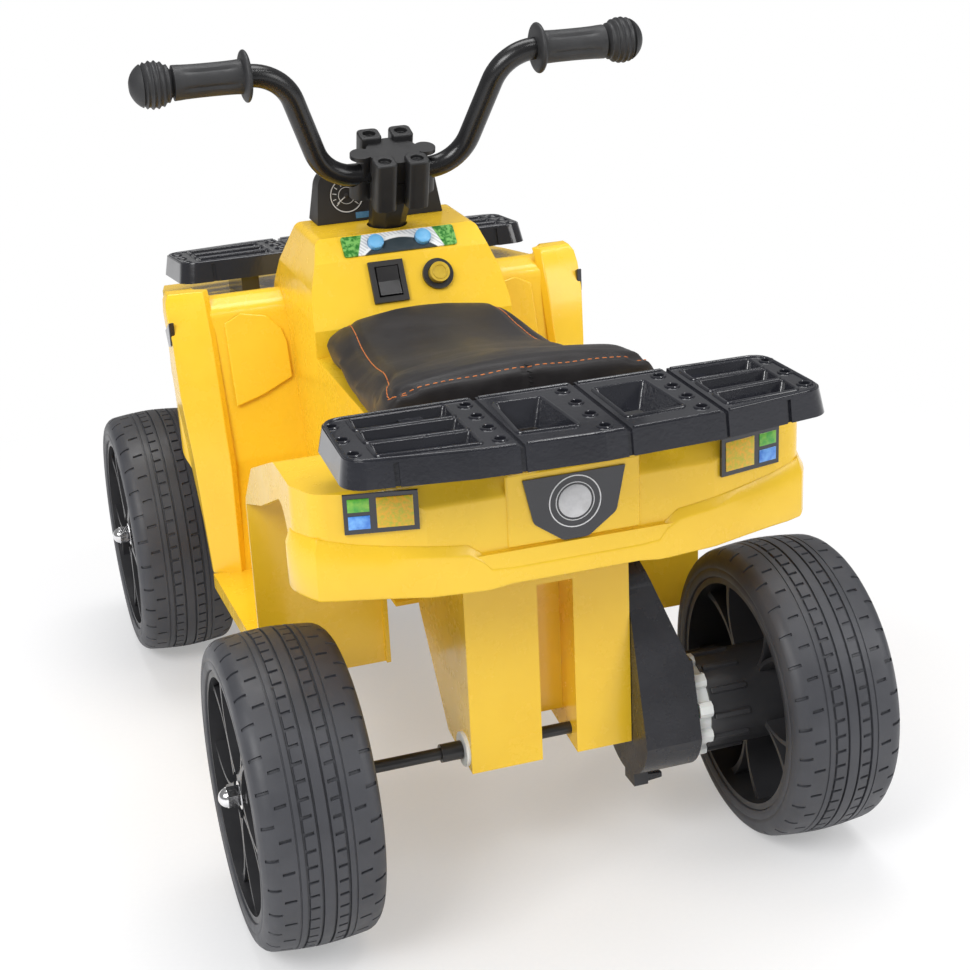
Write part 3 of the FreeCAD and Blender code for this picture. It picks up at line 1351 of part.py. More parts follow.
first_y = second_y + mid_rise * lean_sin
first_z = second_z + mid_rise * lean_cos
motor_y = first_y + mid_rise * lean_sin
motor_z = first_z + mid_rise * lean_cos
motor_hole = rod("motor_hole", "x", S.motor_dia / 2 + S.run_gap, S.overrun * 2, S.box_half - S.overrun,
                 motor_y, motor_z)
bracket_rear = front_y - S.bracket_depth / 2
bracket_front = front_y + S.bracket_depth / 2
bracket = cut("bracket", block("bracket_whole", S.bracket_gap, S.bracket_half, bracket_rear, bracket_front,
                               beam_top, pan_top),
              block("bracket_core", S.bracket_gap + wall, S.bracket_half - wall, bracket_rear + wall,
                    bracket_front + S.overrun, beam_top + wall, pan_z))
pan_ribs = [block("pan_rib_" + word, across - wall / 2, across + wall / 2, S.boss_rear_y, front_y,
                  pan_z - S.pan_rib, pan_z)
            for word, across in (("left", -S.bracket_half), ("right", S.bracket_half))]
bush_level = (S.column_z - pan_z) / rake_cos
collar_block = raked(together("bush_collar", rod("bush_collar_rod", "z", S.bush_collar_dia / 2, S.bush_length,
                                                 0, 0, -bush_level - S.bush_length / 2)))
bush_hole = raked(together("bush_hole", rod("bush_hole_rod", "z", S.bush_dia / 2 + S.press_gap,
                                            S.bush_length + S.overrun, 0, 0,
                                            -bush_level - S.bush_length / 2 - S.overrun / 2)))
pan_holes = [rod("pan_hole_" + word, "z", S.screw_dia / 2 + S.screw_gap, S.overrun * 2, across, way,
                 pan_z - S.overrun)
             for word, across, way in (("a", S.boss_x, S.boss_front_y), ("b", -S.boss_x, S.boss_front_y),
                                       ("c", S.boss_x, S.boss_rear_y), ("d", -S.boss_x, S.boss_rear_y))]
lower = fuse("lower", cut("box_shell", box, box_in), pan,
             bracket, mirror("bracket_other", bracket), collar_block, *pan_ribs)
lower_whole = fuse("lower_whole", lower, channel_wall)
nodes["chassis_pan"] = cut("chassis_pan", lower_whole, channel, channel_low, axle_bore, *bush_bores, motor_hole,
                           bush_hole, *pan_holes)
column_sleeve = cut("column_sleeve",
                    rod("column_sleeve_out", "z", S.bush_dia / 2, S.bush_length, 0, 0,
                        -bush_level - S.bush_length / 2),
                    rod("column_sleeve_in", "z", shaft_radius + S.bush_gap, S.bush_length + S.overrun,
                        0, 0, -bush_level - S.bush_length / 2 - S.overrun / 2))
nodes["column_bush"] = raked(together("column_bush", column_sleeve))
screws = []
for word, across, way in (("a", S.boss_x, S.boss_front_y), ("b", -S.boss_x, S.boss_front_y),
                          ("c", S.boss_x, S.boss_rear_y), ("d", -S.boss_x, S.boss_rear_y)):
    head_z = pan_z - S.screw_head
    screws.append(fuse("body_screw_" + word,
                       rod("body_screw_head_" + word, "z", S.screw_head_dia / 2, S.screw_head, across, way, head_z),
                       rod("body_screw_shank_" + word, "z", S.screw_dia / 2, S.pan_thick + S.screw_reach,
                           across, way, pan_z)))
nodes["body_screws"] = together("body_screws", *screws)

# Gearbox: three reductions from the motor down to the wheel gear, in a case split in two
first_x = case_x + S.case_wall + S.gear_gap
second_x = first_x + S.gear_face + S.gear_gap
wheel_gear_x = second_x + S.gear_face + S.gear_gap


def gear(label, teeth, shares, face, start, turn):
    """A spur gear about X: a root disc with a ring of teeth, turned to mesh."""
    pitch = S.gear_module * teeth / 2
    body = new("PartDesign::Body", label)
    disc = sketch_on(body, "XY", [[(start, 0), (start, pitch - S.gear_module * GEAR_ROOT_SHARE),
                                   (start + face, pitch - S.gear_module * GEAR_ROOT_SHARE), (start + face, 0)]])
    turn_disc = body.newObject("PartDesign::Revolution", label + "_disc")
    turn_disc.Profile = disc
    turn_disc.ReferenceAxis = (disc, ["H_Axis"])
    turn_disc.Angle = 360
    right = [(S.gear_module * half - S.backlash / 4, pitch + S.gear_module * up) for up, half in shares]
    tooth = sketch_on(body, "YZ", [right + [(-u, v) for u, v in reversed(right)]], start)
    bump = body.newObject("PartDesign::Pad", label + "_tooth")
    bump.Profile = tooth
    bind(bump, "Length", face)
    doc.recompute()
    ring = body.newObject("PartDesign::PolarPattern", label + "_teeth")
    ring.Originals = [bump]
    ring.Axis = ([f for f in body.Origin.OriginFeatures if f.Role == "X_Axis"][0], [""])
    ring.Angle = 360
    bind(ring, "Occurrences", teeth)
    body.Tip = ring
    place(body, 0, 0, 0, (1, 0, 0), turn)
    return body


wheel_turn = -SIZES["gear_lean"]
pinion_turn = wheel_turn + 180 / SIZES["pinion_teeth"]


def compound_gear(label, start, pinion_face, y, z):
    big = gear(label + "_wheel", S.mid_gear_teeth, WHEEL_TOOTH_SHARES, S.gear_face, start, wheel_turn)
    small = gear(label + "_pinion", S.pinion_teeth, PINION_TOOTH_SHARES, pinion_face, start + S.gear_face, pinion_turn)
    bore = rod(label + "_bore", "x", S.gear_pin_dia / 2 + S.run_gap, S.case_depth + S.overrun,
               S.box_half - S.overrun / 2)
    return place(cut(label, fuse(label + "_whole", big, small), bore), 0, y, z)


nodes["first_gear"] = compound_gear("first_gear", first_x, S.gear_gap + S.gear_face, first_y, first_z)
nodes["second_gear"] = compound_gear("second_gear", second_x, S.gear_gap + S.wheel_gear_face, second_y, second_z)
pinion_bore = rod("motor_pinion_bore", "x", S.motor_shaft_dia / 2 + S.press_gap / 2, S.case_depth + S.overrun,
                  S.box_half - S.overrun / 2)
nodes["motor_pinion"] = place(cut("motor_pinion", gear(
    "motor_pinion_teeth", S.pinion_teeth, PINION_TOOTH_SHARES, S.gear_face, first_x, pinion_turn), pinion_bore),
    0, motor_y, motor_z)
hub_start = wheel_gear_x + S.wheel_gear_face
gear_hub = rod("output_hub", "x", S.gear_hub_dia / 2, ring_end - hub_start, hub_start)
gear_bore = rod("output_bore", "x", axle_radius + S.run_gap, track_outer / 2, 0)
nodes["output_gear"] = place(cut("output_gear", fuse("output_whole", gear(
    "output_teeth", S.wheel_gear_teeth, WHEEL_TOOTH_SHARES, S.wheel_gear_face, wheel_gear_x, wheel_turn), gear_hub),
    gear_bore), 0, rear_y, wheel_radius)
ring_body = new("PartDesign::Body", "drive_ring_lobes")
lobe_half = S.ring_lobe_dia / 2
lobe = sketch_on(ring_body, "YZ", [[
    (-lobe_half, S.ring_dia / 2 - S.ring_lobe_dia), (lobe_half, S.ring_dia / 2 - S.ring_lobe_dia),
    (lobe_half, S.ring_dia / 2 - lobe_half / 2), (lobe_half / 2, S.ring_dia / 2), (-lobe_half / 2, S.ring_dia / 2),
    (-lobe_half, S.ring_dia / 2 - lobe_half / 2)]], ring_x)
lobe_pad = ring_body.newObject("PartDesign::Pad", "drive_ring_lobe")
lobe_pad.Profile = lobe
bind(lobe_pad, "Length", ring_end - ring_x)
doc.recompute()
lobes = ring_body.newObject("PartDesign::PolarPattern", "drive_ring_pattern")
lobes.Originals = [lobe_pad]
lobes.Axis = ([f for f in ring_body.Origin.OriginFeatures if f.Role == "X_Axis"][0], [""])
lobes.Angle = 360
lobes.Occurrences = 10
ring_body.Tip = lobes
ring_disc = rod("drive_ring_disc", "x", S.ring_dia / 2 - lobe_half, ring_end - ring_x, ring_x)
ring_bore = rod("drive_ring_bore", "x", S.gear_hub_dia / 2 + S.press_gap, track_outer / 2, 0)
nodes["drive_ring"] = place(cut("drive_ring", fuse("drive_ring_whole", ring_disc, ring_body), ring_bore),
                            0, rear_y, wheel_radius)


def case_outline(gap):
    """The case seen from its side: a drum round the axle, narrowing up to the motor."""
    low, high = S.case_drum_radius - gap, S.case_head_radius - gap
    wide, up = cosine(S.case_arc_angle), sine(S.case_arc_angle)
    return [(rear_y - low * wide, wheel_radius - low * up, low), (rear_y + low * wide, wheel_radius - low * up),
            (motor_y + high * wide, motor_z + high * up, high), (motor_y - high * wide, motor_z + high * up)]


case_slope_foot = wheel_radius + S.case_slope_lift


def case_solid(label, gap):
    lift = S.case_head_radius + S.overrun
    whole = pad(label + "_whole", "YZ", case_outline(gap), case_x + gap, S.case_depth - gap * 2)
    top_z = motor_z + lift
    run = (S.case_slope_foot_x - S.case_slope_top_x) / (motor_z - case_slope_foot)
    far = case_end + S.overrun
    slope = [(S.case_slope_top_x - run * lift - gap, top_z), (S.case_slope_foot_x - gap, case_slope_foot - gap),
             (far, case_slope_foot - gap), (far, top_z)]
    return cut(label, whole, pad(label + "_slope", "XZ", slope, rear_y - S.wheel_dia / 2, S.wheel_dia))


case_tab = block("case_tab_block", case_x + S.case_wall, case_x + S.case_wall + S.case_tab,
                 rear_y - S.case_tab_width / 2, rear_y + S.case_tab_width / 2,
                 wheel_radius - S.case_drum_radius - S.case_tab_height + S.case_wall,
                 wheel_radius - S.case_drum_radius + S.case_wall)
hub_hole = rod("case_hub_hole", "x", S.gear_hub_dia / 2 + S.gear_gap, S.overrun * 2, case_end - S.overrun,
               rear_y, wheel_radius)
axle_hole = rod("case_axle_hole", "x", axle_radius + S.gear_gap, S.overrun * 2, case_x - S.overrun,
                rear_y, wheel_radius)
nose_hole = rod("case_nose_hole", "x", S.motor_nose_dia / 2 + S.run_gap, S.overrun * 2, case_x - S.overrun,
                motor_y, motor_z)
case_shell = cut("case_shell", fuse("case_outer", case_solid("case_out", 0), case_tab),
                 case_solid("case_in", S.case_wall), hub_hole, axle_hole, nose_hole)
inner_side = block("case_inner_side", case_x - S.overrun, S.case_split_x, rear_y - S.wheel_dia, rear_y + S.wheel_dia,
                   0, S.dash_top_z)
gear_pins = []
for word, y, z, length in (("first", first_y, first_z, second_x + S.gear_face - case_x),
                           ("second", second_y, second_z, wheel_gear_x + S.wheel_gear_face - case_x)):
    gear_pins.append(rod("gear_pin_" + word, "x", S.gear_pin_dia / 2, length, case_x, y, z))
nodes["gearbox_inner_half"] = fuse("gearbox_inner_half", common("case_inner", case_shell, inner_side), *gear_pins)
nodes["gearbox_outer_half"] = cut("gearbox_outer_half", case_shell, inner_side)
motor_front = case_x - S.press_gap
motor_can = rod("motor_can", "x", S.motor_dia / 2, S.motor_length, motor_front - S.motor_length, motor_y, motor_z)
motor_nose = rod("motor_nose", "x", S.motor_nose_dia / 2, S.case_wall, motor_front, motor_y, motor_z)
motor_shaft = rod("motor_shaft", "x", S.motor_shaft_dia / 2, first_x + S.gear_face - motor_front, motor_front,
                  motor_y, motor_z)
nodes["drive_motor"] = fuse("drive_motor", motor_can, motor_nose, motor_shaft)


# Seat: a cushion swept through six sections, with a crown, drawn-in sides and a sewn channel each side
def seat_section(width_share, top_share, base_share):
    foot = S.seat_base_z + (S.seat_tail_base_z - S.seat_base_z) * base_share
    wide = S.seat_front_half + (S.seat_rear_half - S.seat_front_half) * width_share
    sewn = S.seat_front_top_half + (S.seat_rear_top_half - S.seat_front_top_half) * width_share
    top = S.seat_low_top_z + (S.seat_rear_top_z - S.seat_low_top_z) * top_share
    waist = foot + (top - foot) / 2
    notch = sewn - S.seat_channel
    right = [(wide - S.seat_tuck, foot), (wide, waist), (sewn, top), (notch, top - S.seat_channel_depth),
             (notch - S.seat_channel, top)]
    return right + [(0, top + S.seat_crown)] + [(-u, v) for u, v in reversed(right)]


seat = new("PartDesign::Body", "seat_cushion")
seat_run = S.seat_rear_y - S.seat_front_y
sections = []
for shares in zip(SEAT_PLACE_SHARES, SEAT_WIDTH_SHARES, SEAT_TOP_SHARES, SEAT_BASE_SHARES):
    where = S.seat_front_y + seat_run * shares[0]
    sections.append(sketch_on(seat, "XZ", [seat_section(*shares[1:])], where))
doc.recompute()
seat_loft = seat.newObject("PartDesign::AdditiveLoft", "seat_loft")
seat_loft.Profile = sections[0]
seat_loft.Sections = sections[1:]
nodes["seat_cushion"] = seat
pan_low = S.saddle_z + S.seat_pan_lift
nodes["seat_pan"] = pad("seat_pan", "XY", [
    (-S.seat_pan_half, S.seat_pan_rear_y), (S.seat_pan_half, S.seat_pan_rear_y),
    (S.seat_pan_half, S.seat_pan_front_y), (-S.seat_pan_half, S.seat_pan_front_y)],
    pan_low, S.seat_pan_thick, [((0, 1, 2, 3), S.corner_round)])


# Racks: a drafted slab with sloped pockets and slots, tie-down holes, grooves and two feet
def rack(label, ahead, foot_length, foot_drop, more=()):
    """A rack with its top at Z = 0, drawn from its straight edge at Y = 0 to its curved one."""

    def outline(gap):
        far = (S.rack_depth + S.rack_bulge - gap) * ahead
        right = [(0, far), (S.rack_half / 2, far - S.rack_bulge * ahead / 4),
                 (S.rack_half - gap, (S.rack_depth - gap) * ahead), (S.rack_inner_half - gap, gap * ahead)]
        return right + [(-u, v) for u, v in reversed(right[1:])]

    def spot(across, along_depth):
        depth = S.rack_depth + S.rack_bulge * (1 - abs(across))
        return (S.rack_half * across, depth * (1 - along_depth) * ahead)

    slab = pad(label + "_slab", "XY", outline(0), -S.rack_height, S.rack_height,
               [((2, 3, 4, 5), S.corner_round)], -S.rack_draft)
    core = pad(label + "_core", "XY", outline(S.rack_groove_depth), -S.rack_height,
               S.rack_height - S.rack_groove_depth, (), -S.rack_draft)
    wells = list(RACK_POCKET_SHARES)
    for left, right in RACK_SLOT_END_SHARES:
        for low, high in RACK_SLOT_SHARES:
            wells.append([(left, low), (right, low), (right, high), (left, high)])
    tools = []
    for i, shares in enumerate(wells):
        tools.append(pad("%s_well_%d" % (label, i), "XY", [spot(*share) for share in shares],
                         S.rack_groove_depth, S.rack_height + S.rack_groove_depth * 2,
                         [((0, 1, 2, 3), S.rack_pocket_round)], -S.rack_taper, (), True))
    holes = [(across, deep) for across in RACK_STRIP_SHARES for deep in RACK_HOLE_SHARES]
    holes += [(across, deep) for across in (-RACK_END_SHARE, RACK_END_SHARE) for deep in RACK_END_HOLE_SHARES]
    for i, share in enumerate(holes):
        tools.append(rod("%s_hole_%d" % (label, i), "z", S.rack_hole_dia / 2, S.overrun * 2,
                         *spot(*share), -S.overrun))
    for i, across in enumerate(RACK_GROOVE_SHARES + RACK_NOTCH_SHARES):
        middle = S.rack_half * across
        crest = S.overrun if across in RACK_GROOVE_SHARES else -S.rack_groove_depth
        line = block("%s_line_%d" % (label, i), middle - S.rack_groove / 2, middle + S.rack_groove / 2,
                     -S.rack_half, S.rack_half, -S.overrun, crest)
        tools.append(cut("%s_groove_%d" % (label, i), line, core))
    feet = []
    near, far = S.rack_foot_start * ahead, (S.rack_foot_start + foot_length) * ahead
    low, high = (near, far) if ahead > 0 else (far, near)
    for word, across in (("left", -S.rack_foot_x), ("right", S.rack_foot_x)):
        feet.append(block("%s_foot_%s" % (label, word), across - S.rack_foot_width / 2,
                          across + S.rack_foot_width / 2, low, high, -foot_drop, -S.rack_groove_depth * 2))
    return fuse(label, cut(label + "_open", slab, *tools), *feet, *more)


tongue_low = -S.tongue_drop - S.tongue_thick
tongue = [block("tongue_plate", -S.tongue_half, S.tongue_half, -S.tongue_thick, S.tongue_reach,
                tongue_low, -S.tongue_drop),
          block("tongue_riser", -S.tongue_half, S.tongue_half, -S.tongue_thick, 0, tongue_low,
                -S.rack_height / 2)]
rear_drop = S.rear_rack_top_z - S.tail_crest_z
nodes["rear_rack"] = place(rack("rear_rack", -1, S.rear_rack_foot, rear_drop, tongue),
                           0, S.rear_rack_front_y, S.rear_rack_top_z)
hood_run = S.hood_front_y - S.hood_y
hood_fall = S.hood_z - S.hood_front_z
hood_tilt = math.degrees(math.atan2(hood_fall.number, hood_run.number))
rack_lift = (S.front_rack_top_z - S.hood_z) * hood_run + (S.front_rack_rear_y - S.hood_y) * hood_fall
front_drop = rack_lift / root_of_squares(hood_run, hood_fall)
nodes["front_rack"] = place(rack("front_rack", 1, S.front_rack_foot, front_drop),
                            0, S.front_rack_rear_y, S.front_rack_top_z, (1, 0, 0), -hood_tilt)

# Dash pieces: rocker, round button, sound panel with two buttons, and the instrument panel
frame_half = S.rocker_width / 2
frame_reach = S.rocker_height / 2
neck_half = half_rocker - S.press_gap
neck_reach = rocker_reach - S.press_gap
well_half = frame_half - S.rocker_frame
well_reach = frame_reach - S.rocker_frame
housing = fuse("rocker_housing_whole",
               block("rocker_flange", S.rocker_x - frame_half, S.rocker_x + frame_half, S.rocker_v - frame_reach,
                     S.rocker_v + frame_reach, 0, S.rocker_bezel),
               block("rocker_neck", S.rocker_x - neck_half, S.rocker_x + neck_half, S.rocker_v - neck_reach,
                     S.rocker_v + neck_reach, -S.rocker_sink, S.rocker_bezel))
rocker_well = block("rocker_well", S.rocker_x - well_half, S.rocker_x + well_half, S.rocker_v - well_reach,
                    S.rocker_v + well_reach, -S.rocker_sink + S.rocker_frame / 2, S.overrun)
pin_length = well_half * 2 + S.rocker_frame / 2
rocker_pin_hole = rod("rocker_pin_hole", "x", S.rocker_pin_dia / 2 + S.run_gap, pin_length + S.run_gap * 2,
                      S.rocker_x - pin_length / 2 - S.run_gap, S.rocker_v, 0)
nodes["rocker_housing"] = on_low_face(cut("rocker_housing", housing, rocker_well, rocker_pin_hole))
key_half = well_half - S.rocker_gap
key_reach = well_reach - S.rocker_gap
key = pad("rocker_key", "YZ", [
    (-key_reach, S.rocker_bezel - S.rocker_peak), (-key_reach + S.rocker_peak, 0), (0, -S.rocker_rise),
    (key_reach - S.rocker_peak, 0), (key_reach, S.rocker_bezel - S.rocker_peak), (key_reach, S.rocker_rise),
    (0, S.rocker_rise - S.rocker_peak), (-key_reach, S.rocker_rise)], -key_half, key_half * 2)
key_pin = rod("rocker_key_pin", "x", S.rocker_pin_dia / 2, pin_length, -pin_length / 2)
key_whole = fuse("rocker_whole", key, key_pin)
place(key_whole, S.rocker_x, S.rocker_v, 0)
nodes["rocker"] = on_low_face(together("rocker", key_whole))

collar_radius = S.button_bezel_dia / 2
guide_radius = S.button_dia / 2 + S.button_gap
bezel = cut("button_bezel_drilled",
            fuse("button_bezel_whole",
                 rod("button_bezel_ring", "z", collar_radius, S.button_bezel, S.button_x, S.button_v, 0),
                 rod("button_bezel_neck", "z", bezel_neck, S.button_sink, S.button_x, S.button_v, -S.button_sink)),
            rod("button_bezel_guide", "z", guide_radius, S.overrun * 2, S.button_x, S.button_v,
                -S.button_sink + S.button_wall))
nodes["button_bezel"] = on_low_face(together("button_bezel", bezel))
button_floor = -S.button_sink + S.button_wall + S.button_travel + S.button_gap
nodes["power_button"] = on_low_face(together("power_button", rod(
    "power_button_rod", "z", S.button_dia / 2, S.button_rise + S.button_travel - button_floor,
    S.button_x, S.button_v, button_floor)))

sound_plate = pad("sound_plate", "XY", [
    (-S.sound_half, S.sound_low_v), (S.sound_half, S.sound_low_v), (S.sound_half, S.sound_high_v),
    (-S.sound_half, S.sound_high_v)], 0, S.sound_plate, [((0, 1, 2, 3), S.rocker_frame / 2)])
sound_guides = [rod("sound_guide_" + word, "z", S.sound_button_dia / 2 + S.button_gap, S.overrun, across,
                    S.sound_button_v, -S.overrun / 2)
                for word, across in (("left", -S.sound_button_x), ("right", S.sound_button_x))]
nodes["sound_panel"] = on_high_face(cut("sound_panel", sound_plate, *sound_guides))
for word, across in (("left", -S.sound_button_x), ("right", S.sound_button_x)):
    label = "sound_button_" + word
    shank = rod(label + "_shank", "z", S.sound_button_dia / 2, S.sound_button_rise + S.sound_plate + S.sound_travel,
                across, S.sound_button_v, -S.sound_travel)
    foot_ring = rod(label + "_foot", "z", S.sound_button_dia / 2 + S.sound_button_flange, S.sound_button_flange,
                    across, S.sound_button_v, -S.press_gap - S.sound_button_flange)
    nodes[label] = on_high_face(fuse(label, shank, foot_ring))

speaker_cone = rod("speaker_cone", "z", S.speaker_dia / 2, S.speaker_depth, 0, 0, 0)
magnet = rod("speaker_magnet_disc", "z", S.speaker_magnet_dia / 2, S.speaker_magnet, 0, 0, -S.speaker_magnet)
speaker_whole = fuse("speaker_whole", speaker_cone, magnet)
nodes["speaker"] = place(together("speaker", speaker_whole), S.speaker_x, S.dash_front_y - S.speaker_dia,
                         S.dash_top_z - wall - S.speaker_depth - S.press_gap)

panel_profile = [
    (S.panel_y, S.dash_top_z + S.plate_gap), (S.panel_y + S.panel_foot, S.dash_top_z + S.plate_gap),
    (S.panel_y + S.panel_lean + S.panel_crest, S.dash_top_z + S.panel_height),
    (S.panel_y + S.panel_lean, S.dash_top_z + S.panel_height)]
panel_side = pad("panel_side", "YZ", panel_profile, -S.panel_low_half, S.panel_low_half * 2)
panel_front = pad("panel_front", "XZ", [
    (-S.panel_low_half, S.dash_top_z), (S.panel_low_half, S.dash_top_z),
    (S.panel_top_half, S.dash_top_z + S.panel_height), (-S.panel_top_half, S.dash_top_z + S.panel_height)],
    S.panel_y - S.overrun, S.panel_foot + S.overrun * 3, [((2, 3), S.corner_round)])
dial_lean = math.degrees(math.atan2(SIZES["panel_lean"], SIZES["panel_height"]))
dials = []
for word, across in (("left", -S.panel_dial_x), ("right", S.panel_dial_x)):
    dials.append(rod("dial_" + word, "z", S.panel_dial_dia / 2, S.overrun, across, S.panel_dial_z,
                     -S.panel_dial_depth))
dial_tool = place(together("dial_tool", *dials), 0, S.panel_y, S.dash_top_z, (1, 0, 0), 90 - dial_lean)
nodes["instrument_panel"] = cut("instrument_panel", common("instrument_whole", panel_side, panel_front), dial_tool)

# Tail pieces: light plates on the slanted corners, and a bare shield
tail_run_x = S.tail_corner_half - S.tail_light_half
tail_run_y = S.tail_corner_y - S.tail_y
tail_turn = math.degrees(math.atan2(tail_run_y.number, tail_run_x.number))
light_low = S.tail_light_z
tail_plate = block("tail_plate", S.light_inset, S.light_inset + S.tail_light_length,
                   -S.plate_gap - S.plate_thick, -S.plate_gap, light_low, light_low + S.tail_light_height)
tail_plate_placed = place(together("tail_plate_placed", tail_plate), S.tail_light_half, S.tail_y, 0,
                          (0, 0, 1), tail_turn)
nodes["rear_light_plates"] = twin("rear_light_plates", tail_plate_placed)
nodes["rear_badge"] = pad("rear_badge", "XZ", [
    (-S.badge_point_half, S.badge_z), (S.badge_point_half, S.badge_z), (S.badge_low_half, S.badge_step_z),
    (S.badge_half, S.badge_top_z), (-S.badge_half, S.badge_top_z), (-S.badge_low_half, S.badge_step_z)],
    S.tail_y - S.plate_gap - S.plate_thick, S.plate_thick, [((0, 1, 2, 5), S.edge_round)])

# Nose pieces: lamps on the slanted corners, and a bumper plate
nose_run_x = S.front_corner_half - S.front_light_half
nose_run_y = S.apron_front_y - S.front_corner_y
nose_turn = math.degrees(math.atan2(-nose_run_y.number, nose_run_x.number))
nose_length = root_of_squares(nose_run_x, nose_run_y)
lamp_low, lamp_high = S.head_light_z, S.head_light_z + S.head_light_height
lamp_start, lamp_end = S.light_inset, nose_length - S.light_inset * 2
lamp = block("lamp", lamp_start, lamp_end, S.plate_gap, S.plate_gap + S.plate_thick, lamp_low, lamp_high)
lamp_well = block("lamp_well", lamp_start + S.lens_inset, lamp_end - S.lens_inset, 0, S.overrun,
                  lamp_low + S.lens_inset, lamp_high - S.lens_inset)
lens_inset = S.lens_inset + S.press_gap
lens = block("lens", lamp_start + lens_inset, lamp_end - lens_inset, S.plate_gap,
             S.plate_gap + S.plate_thick + S.lens_rise, lamp_low + lens_inset, lamp_high - lens_inset)
nodes["headlight_bezels"] = twin("headlight_bezels", place(
    together("lamp_placed", cut("lamp_frame", lamp, lamp_well)), S.front_light_half, S.apron_front_y, 0,
    (0, 0, 1), nose_turn))
nodes["headlight_lenses"] = twin("headlight_lenses", place(
    together("lens_placed", lens), S.front_light_half, S.apron_front_y, 0, (0, 0, 1), nose_turn))
bumper_back = S.apron_front_y + S.plate_gap
bumper = pad("bumper", "XZ", [
    (-S.bumper_low_half, S.bumper_low_z), (S.bumper_low_half, S.bumper_low_z), (S.bumper_half, S.bumper_high_z),
    (-S.bumper_half, S.bumper_high_z)], S.bumper_front_y - S.bumper_thick, S.bumper_thick,
    [((0, 1, 2, 3), S.edge_round)])
bumper_posts = []
for word, across in (("left", -S.bumper_post_x), ("right", S.bumper_post_x)):
    bumper_posts.append(rod("bumper_post_" + word, "y", S.bumper_post_dia / 2,
                            S.bumper_front_y - S.bumper_thick / 2 - bumper_back, across, bumper_back,
                            (S.bumper_low_z + S.bumper_high_z) / 2))
slots = []
for word, low in (("low", S.bumper_low_z + S.bumper_slot), ("high", S.bumper_low_z + S.bumper_slot * 3)):
    slots.append(block("bumper_slot_" + word, S.bumper_slot_inset - S.bumper_low_half,
                       S.bumper_low_half - S.bumper_slot_inset, bumper_back - S.overrun,
                       S.bumper_front_y + S.overrun, low, low + S.bumper_slot))
nodes["front_bumper"] = fuse("front_bumper", cut("bumper_slotted", bumper, *slots), *bumper_posts)

# Foot pedal on the right footboard with its trunnions, and the switch below it
pedal_plate = pad("pedal_plate", "YZ", [
    (S.pedal_rear_y, S.pedal_hinge_z), (S.pedal_front_y, S.pedal_hinge_z + S.pedal_lift),
    (S.pedal_front_y, S.pedal_hinge_z + S.pedal_lift + S.pedal_thick),
    (S.pedal_rear_y, S.pedal_hinge_z + S.pedal_thick)], pedal_left, S.pedal_width)
pedal_barrel = rod("pedal_barrel", "x", S.pedal_thick, S.pedal_width, pedal_left, S.pedal_rear_y, S.pedal_hinge_z)
trunnions = rod("pedal_trunnions", "x", S.pedal_pin_dia / 2, trunnion_length, trunnion_start, S.pedal_rear_y,
                S.pedal_hinge_z)
nodes["foot_pedal"] = fuse("foot_pedal", pedal_plate, pedal_barrel, trunnions)
switch_y = S.pedal_front_y - S.pedal_switch_depth
switch_top = S.pedal_hinge_z + S.pedal_lift * SWITCH_LIFT_SHARE - S.pedal_switch_gap
nodes["pedal_switch"] = block("pedal_switch", S.pedal_x - S.pedal_switch_width / 2,
                              S.pedal_x + S.pedal_switch_width / 2, switch_y - S.pedal_switch_depth / 2,
                              switch_y + S.pedal_switch_depth / 2,
                              board_z(switch_y - S.pedal_switch_depth / 2) + S.plate_gap, switch_top)

# Battery on the pan, and the charging socket in the tunnel's right side
battery_x, battery_y0 = S.battery_width / 2, S.battery_y - S.battery_depth / 2
battery_y1 = battery_y0 + S.battery_depth
battery_top = pan_top + S.battery_height
nodes["battery"] = block("battery", -battery_x, battery_x, battery_y0, battery_y1, pan_top, battery_top)
socket_tube = rod("socket_tube", "x", S.socket_dia / 2, S.socket_depth, S.tunnel_half + S.plate_gap - S.socket_depth,
                  S.socket_y, S.socket_z)
socket_disc = rod("socket_disc", "x", S.socket_flange_dia / 2, S.socket_flange, S.tunnel_half + S.plate_gap,
                  S.socket_y, S.socket_z)
socket_well = rod("socket_well", "x", S.socket_bore / 2, S.socket_depth, S.tunnel_half - S.socket_depth / 2,
                  S.socket_y, S.socket_z)
nodes["charge_socket"] = cut("charge_socket", fuse("socket_whole", socket_tube, socket_disc), socket_well)

doc.recompute()

# Every object has to be sound before anything is written
faults = []
for thing in doc.Objects:
    if any(word in ("Invalid", "Error") for word in thing.State):
        faults.append("%s: %s" % (thing.Label, thing.State))
for label, node in nodes.items():
    if node.Shape.isNull() or not node.Shape.isValid() or node.Shape.Volume <= 0:
        faults.append("%s has no sound shape" % label)
if faults:
    raise RuntimeError("; ".join(faults))
os.makedirs("parts", exist_ok=True)
for label, node in nodes.items():
    node.Shape.exportStep("parts/%s.step" % label)
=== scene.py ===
import math

import bmesh
import bpy
from mathutils import Matrix, Vector
from mathutils.bvhtree import BVHTree
from mathutils.kdtree import KDTree


